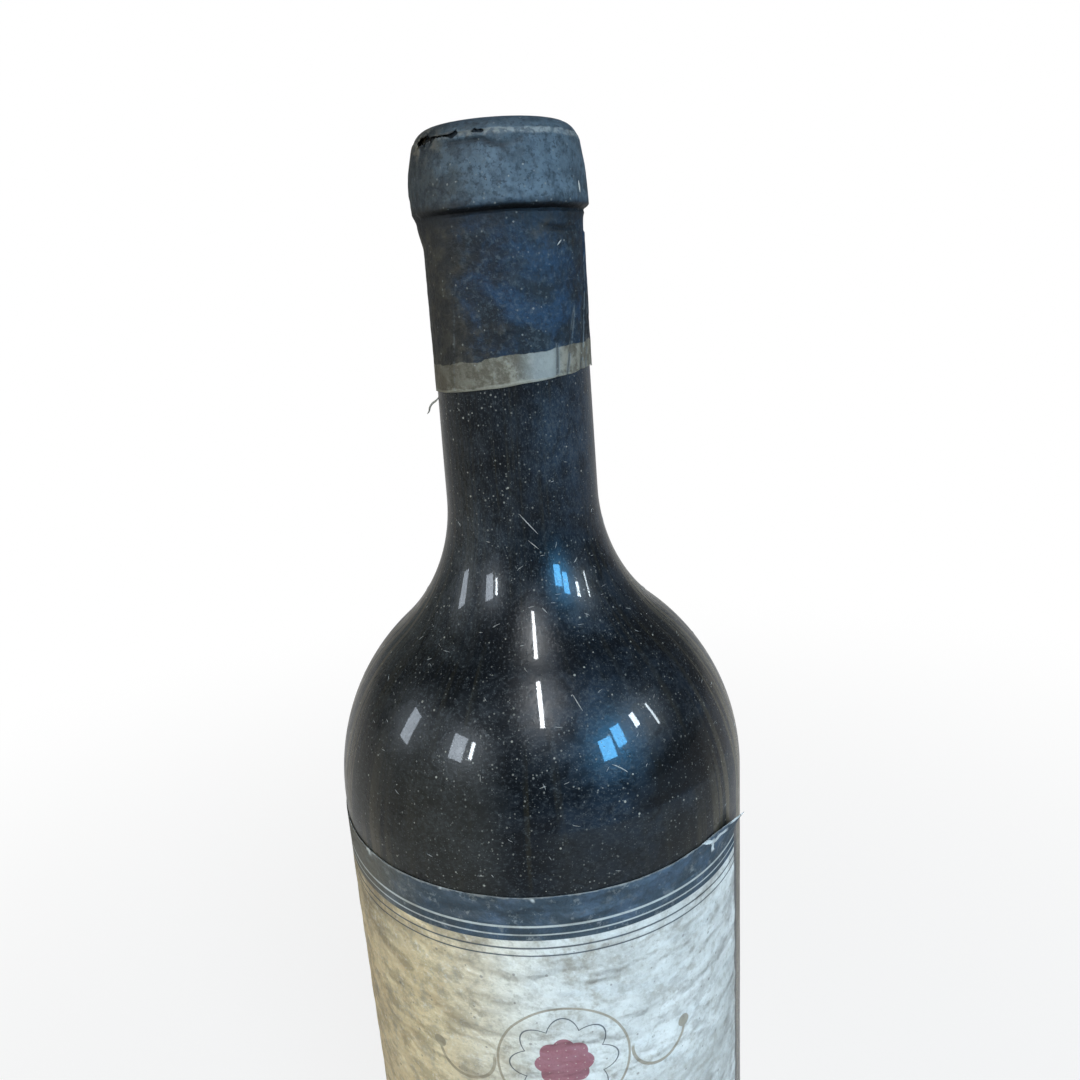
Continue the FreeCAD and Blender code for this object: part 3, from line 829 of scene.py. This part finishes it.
# %% Blue paint, paler on the ring
NECK_BLACK, NECK_BLUE = (0.0050, 0.0080, 0.0118), (0.0115, 0.0385, 0.0870)
RING_GREY, RING_BLUE, RING_DARK = (0.058, 0.090, 0.119), (0.112, 0.166, 0.218), (0.018, 0.030, 0.044)
RING_FROM, RING_TO = 0.2873, 0.2892  # the ring's colours start between these heights
foil_colour = foil.mix(foil.ramp(blots, 0.36, 0.62), NECK_BLACK, NECK_BLUE)
foil_colour = foil.lay((0.034, 0.054, 0.072), foil_colour, foil.ramp(mottle, 0.50, 0.62), 0.38)
foil_colour = foil.lay((0.0030, 0.0050, 0.0080), foil_colour, foil.ramp(mottle, 0.46, 0.38), 0.55)
pale = foil.mix(foil.ramp(blots, 0.35, 0.62), RING_GREY, RING_BLUE)
pale = foil.lay(RING_DARK, pale, foil.ramp(mottle, 0.55, 0.40), 0.55)
foil_colour = foil.lay(pale, foil_colour, foil.ramp(z, RING_FROM, RING_TO), 0.90)
foil_colour = foil.lay((0.095, 0.125, 0.145), foil_colour, foil.ramp(speckle, 0.53, 0.62), 0.34)
foil_colour = foil.lay((0.006, 0.010, 0.016), foil_colour, foil.ramp(speckle, 0.47, 0.39), 0.60)
foil.report("the paint")

# %% Grime, mostly at the left, where painted warm light browns it too
OLIVE_DARK, OLIVE_PALE = (0.012, 0.012, 0.009), (0.058, 0.055, 0.042)
GRIME_DARK, GRIME_PALE = (0.0095, 0.0092, 0.0075), (0.055, 0.050, 0.037)
left = foil.ramp(x, 0.002, -0.0125)
olive = foil.mix(foil.ramp(speckle, 0.42, 0.60), OLIVE_DARK, OLIVE_PALE)
olive_share = foil.ramp(z, RING_FROM, RING_TO, 0.66, 0.34)
# olive grime at the left, partly painted warm light
foil_colour = foil.lay(olive, foil_colour, foil.ramp(x, -0.0045, -0.0115), olive_share)
# the grime grows towards the left, where part of its brown is painted warm light
grime_and_warm_light = foil.ramp(foil.sum("ADD", grime, foil.times(left, 0.24)), 0.54, 0.70)
brown = foil.mix(foil.ramp(mottle, 0.4, 0.66), GRIME_DARK, GRIME_PALE)
foil_colour = foil.lay(brown, foil_colour, grime_and_warm_light, foil.ramp(z, RING_FROM, RING_TO, 0.85, 0.50))
foil_colour = foil.lay((0.008, 0.011, 0.014), foil_colour, foil.ramp(brushed, 0.55, 0.70), 0.50)
foil.report("the grime")

# %% Painted shade in the creases and dents
# painted shade in the hollow below the ring's bulge
shade = foil.times(foil.ramp(z, 0.2838, 0.2868), foil.ramp(z, 0.2890, 0.2872))
foil_colour = foil.lay((0.004, 0.006, 0.008), foil_colour, shade, 0.70)
# painted shade along the ring's crease
crease_painted_shade = foil.sum("MULTIPLY", crease, 0.96, clamp=True)
foil_colour = foil.mix(crease_painted_shade, foil_colour, (0.0030, 0.0040, 0.0050))
# painted shade in the dents and wrinkles
foil_colour = foil.lay((0.0045, 0.0060, 0.0080), foil_colour, dent, 0.85)
foil.report("the creases")

# %% The tin band above the lower edge
BAND_TOP_FROM, BAND_TOP_TO, BAND_EDGE = 0.26568, 0.26552, 0.26108
TIN_BROWN, TIN_GREY = (0.110, 0.100, 0.074), (0.250, 0.242, 0.200)
DIRTY_WARM_LIT_TIN, COOL_TIN = (0.078, 0.070, 0.050), (0.31, 0.355, 0.365)
level = foil.sum("SUBTRACT", z, foil.times(x, HEM_SLOPE))
ragged = foil.times(foil.sum("SUBTRACT", foil.cloud(260, 3, 0.6), 0.5), 0.0016)
ragged = foil.sum("ADD", level, ragged)
tin = foil.mix(foil.ramp(mottle, 0.42, 0.60), TIN_BROWN, TIN_GREY)
# at the left the tin is browner, with grime and painted warm light
tin = foil.lay(DIRTY_WARM_LIT_TIN, tin, left, 0.65)
cool = foil.times(foil.ramp(x, 0.000, 0.0045), foil.ramp(x, 0.0085, 0.0060))
tin = foil.lay(COOL_TIN, tin, cool, 0.7)
foil_colour = foil.mix(foil.ramp(ragged, BAND_TOP_FROM, BAND_TOP_TO), foil_colour, tin)
rim = foil.ramp(foil.sum("SUBTRACT", ragged, BAND_EDGE), 0.00055, 0.00025)
foil_colour = foil.lay((0.36, 0.36, 0.31), foil_colour, rim, 0.5)
lap_colour = foil.mix(foil.ramp(laps, 0.50, 0.80), (0.16, 0.19, 0.21), (0.012, 0.015, 0.019))
lap_share = foil.times(foil.ramp(laps, 0.22, 0.60), foil.ramp(mottle, 0.42, 0.54), 0.72)
foil_colour = foil.mix(lap_share, foil_colour, lap_colour)
foil.report("the band")

# %% Worn seam, worn corner and chips
SEAM_WARM, SEAM_COOL = (0.17, 0.18, 0.175), (0.27, 0.305, 0.315)
shaky = foil.times(foil.sum("SUBTRACT", foil.cloud(420, 5, 0.65), 0.5), 0.0008)
shaky = foil.sum("ADD", z, shaky)
seam = foil.times(foil.ramp(shaky, 0.29745, 0.29795), foil.ramp(shaky, 0.29862, 0.29832))
patchy = foil.ramp(foil.cloud(1100, 5, 0.70), 0.42, 0.56, 0.25, 1.0)
seam_colour = foil.mix(foil.ramp(x, -0.006, 0.006), SEAM_WARM, SEAM_COOL)
foil_colour = foil.lay(seam_colour, foil_colour, seam, patchy, 0.9)
lidded = foil.times(foil.ramp(z, 0.29885, 0.29935), foil.ramp(mottle, 0.40, 0.60))
foil_colour = foil.lay((0.034, 0.050, 0.068), foil_colour, lidded, 0.55)
torn_corner = foil.times(foil.ramp(x, -0.0070, -0.0110), foil.ramp(z, 0.2940, 0.2968))
torn_corner = foil.times(torn_corner, foil.ramp(mottle, 0.44, 0.56))
foil_colour = foil.lay((0.150, 0.138, 0.108), foil_colour, torn_corner, 0.75)
foil_colour = foil.lay((0.21, 0.23, 0.22), foil_colour, grains, foil.ramp(mottle, 0.42, 0.58), 0.60)
foil_colour = foil.lay((0.32, 0.34, 0.33), foil_colour, chips, 0.65)
foil.report("the wear")

# %% Gloss of the foil
foil_normal = foil.bump(mottle, 0.75, 0.0007)
foil_normal = foil.bump(speckle, 0.45, 0.0002, before=foil_normal)
foil_rough = foil.ramp(mottle, 0.3, 0.7, 0.45, 0.65)
foil_shader = foil.node("BsdfPrincipled", Base_Color=foil_colour, Roughness=foil_rough)
foil.feed(foil_shader.inputs["Normal"], foil_normal)
foil_shader.inputs["Specular IOR Level"].default_value = 0.11
foil_finish = foil.finish(foil_shader.outputs[0])
skirt.data.materials.append(foil_finish)
lid.data.materials.append(foil_finish)
foil.report("the gloss")

# %% [markdown]
# ## Label
# The paper was glued on wet and has cockled: low ripples run aslant across it. It is a
# grid of points bent round the wall, each lifted by the ripples, and at the upper right the
# corner has come loose, folded and curled away from the glass. The grid remembers how far
# each point lies along the flat paper, and the print is laid out on those flat coordinates.

# %% Sizes of the label
LABEL_TOP, LABEL_TALL = 185.0, 108.0
LEFT_END, RIGHT_END, CURL_FROM = -118.0, 60.8, 46.5
PAPER_REACH, PAPER_LIMIT = 38.14, 38.40
LABEL_COLUMNS, LABEL_ROWS, EDGE_ROWS = 300, 190, 12


def ripple(bearing, height):
    """How high the paper stands off its snug place: hardly at the top, up to 0.25 mm below it."""
    across = WALL * bearing
    slant = (height + 0.42 * across) / 6.5
    wave = math.sin(slant * 2 * math.pi / 1.15 + 2.4 * waver(bearing, height, 24, 2.7))
    patch = 0.5 + 0.5 * waver(bearing, height, 16, 6.1)
    fine = waver(bearing, height, 4.5, 1.7)
    quiet = min(max((LABEL_TOP - 6 - height) / 14, 0), 1)
    return 0.13 * quiet + (0.10 * wave * patch + 0.05 * fine) * (0.12 + 0.88 * quiet)


def corner_curl(bearing, height):
    """The loose upper right corner: how far it lifts, and how far it rises; it sinks a little."""
    across = math.degrees(bearing) - CURL_FROM
    near_top = max((height - (LABEL_TOP - 5.5)) / 5.5, 0)
    share = min(max(across / (RIGHT_END - CURL_FROM), 0), 1) * near_top
    return 1.9 * share**1.5 - 0.10 * math.sin(share * math.pi), -0.7 * share


print("the corner lifts by", round(corner_curl(math.radians(RIGHT_END), LABEL_TOP)[0], 2), "mm")

# %% Label
label_bearings = around(LABEL_COLUMNS, LEFT_END, RIGHT_END, closed=False)


def row_depth(i):
    """How far below the top edge a row lies, in mm. The rows are closer together near the top."""
    return LABEL_TALL * (i / (LABEL_ROWS - 1)) ** 1.15


def label_rows():
    """Rows of points from the label's top edge down, each row from the left end to the right."""
    rows = []
    for i in range(LABEL_ROWS):
        row = []
        for b in label_bearings:
            height = LABEL_TOP - row_depth(i)
            lift, rise = corner_curl(b, height)
            edge = 0.10 * waver(b, 0, 5, 4.9) - 0.10 if i < EDGE_ROWS else 0
            reach = min(PAPER_REACH + ripple(b, height), PAPER_LIMIT) + lift
            row.append(spot(b, reach, height + edge * (1 - i / EDGE_ROWS) + rise * 0.75))
        rows.append(row)
    return rows


label = skin("paper_label", label_rows(), False)
flat_places = [(WALL * b, row_depth(i), 0) for i in range(LABEL_ROWS) for b in label_bearings]
remember(label, "flat", flat_places)
paper_shell = label.modifiers.new("thickness", "SOLIDIFY")
paper_shell.thickness = 0.10 * MM
paper_shell.offset = -1.0
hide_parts("label")
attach(label, "root")

# %% [markdown]
# ## Printed paper
# The print has a dark blue band along the top edge, two fine light lines in it, two fine
# dark lines below it, and an emblem in the middle. The emblem is a made-up one: a ring, a
# red rosette with pale dots in a scalloped line, and a tan bow with a bud on each side. Each
# shape is a formula on the flat coordinates: first how far a spot lies from the shape, then
# a sharp step on that distance. All lengths in these formulas are in mm.


# %% Ways to draw on the flat paper
paper = Recipe("printed_paper")
along, down, _ = paper.split(paper.recall("flat"))


def near(value, middle, half, soft=0.06):
    """1 where a value lies within half of the middle."""
    distance = paper.sum("ABSOLUTE", paper.sum("SUBTRACT", value, middle))
    return paper.ramp(distance, half + soft, half - soft)


def distance_to(u, v):
    """How far a spot lies from a point, and how far across and below it."""
    across = paper.sum("SUBTRACT", along, u)
    below = paper.sum("SUBTRACT", down, v)
    squares = paper.sum("ADD", paper.times(across, across), paper.times(below, below))
    return paper.sum("SQRT", squares), across, below


def most(*values):
    """The largest of several fields, spot by spot."""
    result = values[0]
    for value in values[1:]:
        result = paper.sum("MAXIMUM", result, value)
    return result


paper.report("the flat coordinates")

# %% Old paper, with painted warm light at its left and painted shade along its cockles
COOL_PAPER, GREY_PAPER, PAINTED_WARM_LIGHT = (0.84, 0.87, 0.86), (0.60, 0.62, 0.60), (0.70, 0.545, 0.285)
fibres = paper.cloud(1500, 4, 0.65)
stains = paper.cloud(40, 6, 0.68)
blotch = paper.cloud(320, 5, 0.68)
# painted warm light: the paper turns warm towards the left
left = paper.ramp(along, 2.0, -25.0)
paper_colour = paper.mix(paper.ramp(stains, 0.38, 0.64), COOL_PAPER, GREY_PAPER)
paper_colour = paper.lay(PAINTED_WARM_LIGHT, paper_colour, left, 0.86)
# painted shade: darker bands along the slanting cockles, stronger towards both ends, and browner at the
# left with the painted warm light
slant = paper.stretch((170, 170, 235), turned=(0.45, 0.7, 0.2))
cockle = paper.ramp(paper.cloud(1, 6, 0.66, place=slant), 0.47, 0.60)
cockle_shade = paper.mix(left, (0.40, 0.40, 0.38), (0.33, 0.26, 0.15))
outwards = paper.ramp(paper.sum("ABSOLUTE", along), 6.0, 26.0, 0.30, 0.62)
paper_colour = paper.lay(cockle_shade, paper_colour, cockle, outwards)
paper_colour = paper.lay((0.36, 0.335, 0.28), paper_colour, paper.ramp(blotch, 0.53, 0.66), 0.42)
paper.report("the bare paper")

# %% Dirt on the paper, and a darker patch at its upper left
smear = paper.times(paper.ramp(stains, 0.50, 0.62), paper.ramp(blotch, 0.44, 0.58))
smear = paper.times(smear, paper.ramp(along, 12.0, 4.0))
paper_colour = paper.lay((0.30, 0.255, 0.185), paper_colour, smear, 0.50)
# darker brown towards the upper left of the label, near its top
upper_left_darkening = paper.times(paper.ramp(along, -22.0, -36.0), paper.ramp(along, -64.0, -48.0))
upper_left_darkening = paper.times(upper_left_darkening, paper.ramp(down, 24.0, 10.0))
corner_share = paper.ramp(blotch, 0.36, 0.56, 0.35, 0.80)
paper_colour = paper.lay((0.27, 0.225, 0.145), paper_colour, upper_left_darkening, corner_share)
grit = paper.cloud(1000, 5, 0.74)
paper_colour = paper.lay((0.36, 0.35, 0.31), paper_colour, paper.ramp(grit, 0.54, 0.63), 0.34)
paper_colour = paper.lay((0.90, 0.92, 0.92), paper_colour, paper.ramp(grit, 0.46, 0.38), 0.25)
foxed = paper.times(paper.specks(190, 0.10), paper.ramp(blotch, 0.40, 0.60))
paper_colour = paper.lay((0.15, 0.13, 0.11), paper_colour, foxed, 0.75)
paper_colour = paper.lay((0.19, 0.17, 0.145), paper_colour, paper.specks(560, 0.20), 0.60)
paper.report("the dirt")

# %% Blue band and fine lines
NAVY, RUBBED_NAVY = (0.026, 0.044, 0.062), (0.052, 0.088, 0.140)
LINE_INK, BAR_INK, RED_INK = (0.055, 0.065, 0.075), (0.050, 0.062, 0.078), (0.30, 0.085, 0.115)
far_left = paper.times(paper.ramp(along, -20.0, -38.0), paper.ramp(along, -66.0, -50.0))
blue = paper.mix(paper.ramp(paper.cloud(200, 5, 0.65), 0.45, 0.70), NAVY, RUBBED_NAVY)
blue = paper.lay((0.13, 0.15, 0.16), blue, paper.ramp(blotch, 0.56, 0.72), 0.6)
blue = paper.lay((0.22, 0.25, 0.26), blue, paper.ramp(paper.cloud(420, 5, 0.74), 0.56, 0.66), 0.6)
blue = paper.lay((0.15, 0.135, 0.095), blue, far_left, 0.7)
paper_colour = paper.mix(paper.ramp(down, 8.30, 8.16), paper_colour, blue)
light_lines = most(near(down, 5.62, 0.20), near(down, 7.15, 0.13))
paper_colour = paper.lay((0.50, 0.53, 0.52), paper_colour, light_lines, 0.92)
dark_lines = most(near(down, 9.70, 0.16), near(down, 11.15, 0.14))
paper_colour = paper.lay(LINE_INK, paper_colour, dark_lines, 0.94)
paper.report("the band")

# %% Rosette of the emblem
EMBLEM_DOWN = 33.0
ring, across, below = distance_to(0.0, EMBLEM_DOWN)
angle = paper.sum("ARCTAN2", below, across)
petals = paper.sum("ABSOLUTE", paper.sum("COSINE", paper.times(angle, 4.0)))
scallop = paper.sum("ADD", 7.0, paper.times(petals, 2.2))
petal_line = near(paper.sum("SUBTRACT", ring, scallop), 0.0, 0.13)
rosette_edge = paper.sum("ADD", 4.3, paper.times(petals, 0.7))
rosette = paper.ramp(paper.sum("SUBTRACT", ring, rosette_edge), 0.06, -0.06)
dots = paper.ramp(paper.sum("SINE", paper.times(across, 4.2)), 0.86, 0.93)
dots = paper.times(dots, paper.ramp(paper.sum("SINE", paper.times(below, 4.2)), 0.86, 0.93))
paper_colour = paper.lay(RED_INK, paper_colour, rosette, 0.92)
paper_colour = paper.lay((0.55, 0.40, 0.36), paper_colour, rosette, dots, 0.8)
paper.report("the rosette")

# %% Ring and bows of the emblem
tan = near(ring, 11.2, 0.22)
for side in (-1, 1):
    bow_ring, _, bow_below = distance_to(side * 17.0, EMBLEM_DOWN)
    lower = paper.ramp(bow_below, -1.0, 0.0)
    tan = most(tan, paper.times(near(bow_ring, 5.2, 0.30), lower))
    bud, _, _ = distance_to(side * 22.2, 32.6)
    tan = most(tan, paper.ramp(bud, 1.25, 1.13))
paper_colour = paper.lay((0.30, 0.25, 0.17), paper_colour, tan, 0.8)
paper_colour = paper.lay((0.040, 0.050, 0.060), paper_colour, petal_line, 0.9)
paper.report("the bows")

# %% Plain bars and the closing band
width = paper.sum("ABSOLUTE", along)


def bar(middle, half_tall, half_wide):
    """A bar across the middle of the label."""
    return paper.times(near(down, middle, half_tall), paper.ramp(width, half_wide + 0.05, half_wide - 0.05))


bars = most(bar(54.0, 1.3, 24.0), bar(61.0, 0.6, 17.0), bar(65.0, 0.6, 20.0))
paper_colour = paper.lay(BAR_INK, paper_colour, bars, 0.85)
paper_colour = paper.lay(RED_INK, paper_colour, bar(74.0, 0.9, 9.0), 0.9)
closing_lines = most(near(down, 96.5, 0.13), near(down, 98.0, 0.13))
paper_colour = paper.lay(LINE_INK, paper_colour, closing_lines, 0.85)
paper_colour = paper.mix(paper.ramp(down, 99.9, 100.05), paper_colour, blue)
paper.report("the bars")

# %% Worn edge and the tear at the folded corner
wear = paper.cloud(330, 4, 0.7)
edge = paper.ramp(paper.sum("ADD", down, paper.times(wear, 1.3)), 1.05, 0.60)
paper_colour = paper.lay((0.33, 0.34, 0.33), paper_colour, edge, 0.75)
chips = paper.times(paper.ramp(down, 1.6, 0.2), paper.ramp(paper.cloud(150, 3, 0.7), 0.60, 0.66))
paper_colour = paper.lay((0.66, 0.69, 0.69), paper_colour, chips, 0.9)
# the tear is a stem, an arm up to the left, an arm along the fold, and a worn tip
shaky = paper.times(paper.sum("SUBTRACT", paper.cloud(260, 3, 0.6), 0.5), 3.0)
across_tear = paper.sum("ADD", along, shaky)
below_tear = paper.sum("ADD", down, paper.times(shaky, 0.5))
stem = paper.times(near(across_tear, 31.0, 0.34), paper.ramp(down, 3.4, 2.8), paper.ramp(down, 0.6, 1.2))
arm = near(paper.sum("SUBTRACT", along, paper.times(below_tear, 2.0)), 28.6, 0.75)
arm = paper.times(arm, paper.ramp(down, 1.7, 1.3))
along_fold = paper.times(near(below_tear, 1.35, 0.32), paper.ramp(along, 30.4, 30.9))
along_fold = paper.times(along_fold, paper.ramp(along, 36.5, 35.0))
tip = paper.times(paper.ramp(along, 36.0, 37.5), paper.ramp(below_tear, 0.75, 0.45))
tear = most(stem, arm, along_fold, tip)
paper_colour = paper.lay((0.62, 0.67, 0.69), paper_colour, tear, paper.ramp(wear, 0.34, 0.50, 0.4, 1.0))
paper.report("the tear")

# %% Ripples and gloss of the paper
swell = paper.cloud(1, 2, 0.5, place=paper.stretch((65, 65, 190), turned=(0.35, 0.6, 0)))
paper_normal = paper.bump(swell, 1.0, 0.0040)
paper_normal = paper.bump(paper.cloud(1, 4, 0.55, place=slant), 0.9, 0.0018, before=paper_normal)
paper_normal = paper.bump(blotch, 0.35, 0.0004, before=paper_normal)
paper_normal = paper.bump(fibres, 0.25, 0.0002, before=paper_normal)
paper_rough = paper.ramp(fibres, 0.3, 0.7, 0.62, 0.78)
paper_shader = paper.node("BsdfPrincipled", Base_Color=paper_colour, Roughness=paper_rough)
paper.feed(paper_shader.inputs["Normal"], paper_normal)
paper_shader.inputs["Specular IOR Level"].default_value = 0.3
label.data.materials.append(paper.finish(paper_shader.outputs[0]))
paper.report("the gloss")

# %% [markdown]
# ## A stray fibre
# A scrap of packing fibre is stuck under the skirt's edge and sticks out at the left. A thin
# curve with a round bevel is enough for it, and it gets thinner towards both of its ends.


# %% Fibre
# each knot: its bearing in degrees, its reach and height in mm, and its thickness
FIBRE_KNOTS = (
    (-82, 13.25, 258.6, 0.5),
    (-84, 13.6, 258.1, 1.0),
    (-86, 14.3, 257.7, 1.0),
    (-88, 14.9, 256.9, 0.9),
    (-89, 15.0, 256.2, 0.8),
    (-88, 15.4, 255.8, 0.3),
)


def place_knot(point, degrees, reach, height, thick):
    """Puts a curve's point round the bottle and sets how thick the curve is there."""
    x, y, z = spot(math.radians(degrees), reach, height)
    point.co = (middle_x + x * MM, middle_y + y * MM, z * MM, 1)
    point.radius = thick


def fluff(name, scale, dark, light):
    """A dull finish of fluff or straw, mottled between two tones."""
    fluffy = Recipe(name)
    tone = fluffy.mix(fluffy.cloud(scale, 3, 0.6), dark, light)
    rough = fluffy.ramp(fluffy.cloud(900), 0.3, 0.7, 0.6, 0.85)
    return fluffy.finish(fluffy.node("BsdfPrincipled", Base_Color=tone, Roughness=rough).outputs[0])


def fibre():
    """A bent thread that starts under the skirt's edge."""
    line = bpy.data.curves.new("stray_fibre", "CURVE")
    line.dimensions = "3D"
    line.bevel_depth = 0.18 * MM
    line.bevel_resolution = 2
    thread = line.splines.new("NURBS")
    thread.points.add(len(FIBRE_KNOTS) - 1)
    for point, knot in zip(thread.points, FIBRE_KNOTS):
        place_knot(point, *knot)
    thread.order_u = 3
    thread.use_endpoint_u = True
    piece = bpy.data.objects.new("stray_fibre", line)
    bpy.context.collection.objects.link(piece)
    line.materials.append(fluff("fibre_straw", 1800, (0.05, 0.05, 0.045), (0.34, 0.33, 0.28)))
    print("the fibre has", len(thread.points), "knots")
    return piece


stray = fibre()
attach(stray, "root")

# %% [markdown]
# ## Hairs and scratches
# Fine pale hairs lie in the dust on the shoulder, and a few scratches run across the neck and
# the foil. Each is a sliver of a curve laid on the surface. The places of the hairs come
# from a noise that needs no seed, so they are the same on every run.


# %% Hairs and scratches
def reach_at(height):
    """The bottle's radius at a height, found on its outline."""
    for before, after in zip(outline, outline[1:]):
        if before[0] > 10 and before[1] <= height <= after[1] and after[1] > before[1]:
            share = (height - before[1]) / (after[1] - before[1])
            return before[0] + (after[0] - before[0]) * share
    return NECK


print("halfway up the neck the glass reaches", round(reach_at(250), 2), "mm")
HAIR_POINTS = 9


def sliver(line, start, end, proud, thick, bend=0.0):
    """A hair from one spot to another, each a bearing in degrees and a height in mm."""
    hair = line.splines.new("POLY")
    hair.points.add(HAIR_POINTS - 1)
    for i, point in enumerate(hair.points):
        share = i / (HAIR_POINTS - 1)
        degrees = start[0] + (end[0] - start[0]) * share + bend * math.sin(share * math.pi)
        height = start[1] + (end[1] - start[1]) * share
        taper = thick * (0.25 + 0.75 * math.sin(share * math.pi))
        place_knot(point, degrees, reach_at(height) + proud, height, taper)


# %% All the hairs
DUST_LOW, DUST_HIGH = 187.2, 255


def pale_hairs():
    """The hairs and scratches that stand out one by one, and then the many small ones."""
    line = bpy.data.curves.new("pale_hairs", "CURVE")
    line.dimensions = "3D"
    line.bevel_depth = 0.05 * MM
    line.bevel_resolution = 1
    sliver(line, (-3.4, 240.2), (8.6, 236.6), 0.0, 1.6)
    sliver(line, (1.5, 235.7), (8.3, 234.1), 0.0, 1.3)
    sliver(line, (5.9, 225.1), (8.1, 224.3), 0.0, 1.6)
    sliver(line, (18.3, 204.0), (22.2, 202.3), 0.0, 1.6, 0.3)
    sliver(line, (11.5, 213.8), (13.5, 211.6), 0.0, 1.3)
    sliver(line, (53.2, 290.9), (53.8, 289.2), 1.35, 2.6)
    sliver(line, (38.0, 281.7), (42.0, 282.5), 0.40, 2.2)
    for i in range(150):
        degrees = 180 * noise.noise(Vector((i * 0.731, 4.1, 0.3))) * 2.2
        height = 214 + 52 * noise.noise(Vector((1.7, i * 0.617, 2.9)))
        slope = 2.4 * noise.noise(Vector((7.3, 0.9, i * 0.457)))
        long = 0.6 + 1.2 * abs(noise.noise(Vector((i * 0.371, 9.2, 5.5))))
        height = min(max(height, DUST_LOW + 0.3), DUST_HIGH)
        sideways = math.degrees(long * math.cos(slope) / reach_at(height))
        end = (degrees + sideways, min(max(height - long * math.sin(slope), DUST_LOW), DUST_HIGH))
        sliver(line, (degrees, height), end, -0.03, 0.8, 1.5 * math.sin(i) * sideways / 8)
    piece = bpy.data.objects.new("pale_hairs", line)
    bpy.context.collection.objects.link(piece)
    line.materials.append(fluff("pale_lint", 2500, (0.18, 0.19, 0.19), (0.60, 0.60, 0.56)))
    print("hairs and scratches:", len(line.splines))
    return piece


hairs = pale_hairs()
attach(hairs, "root")
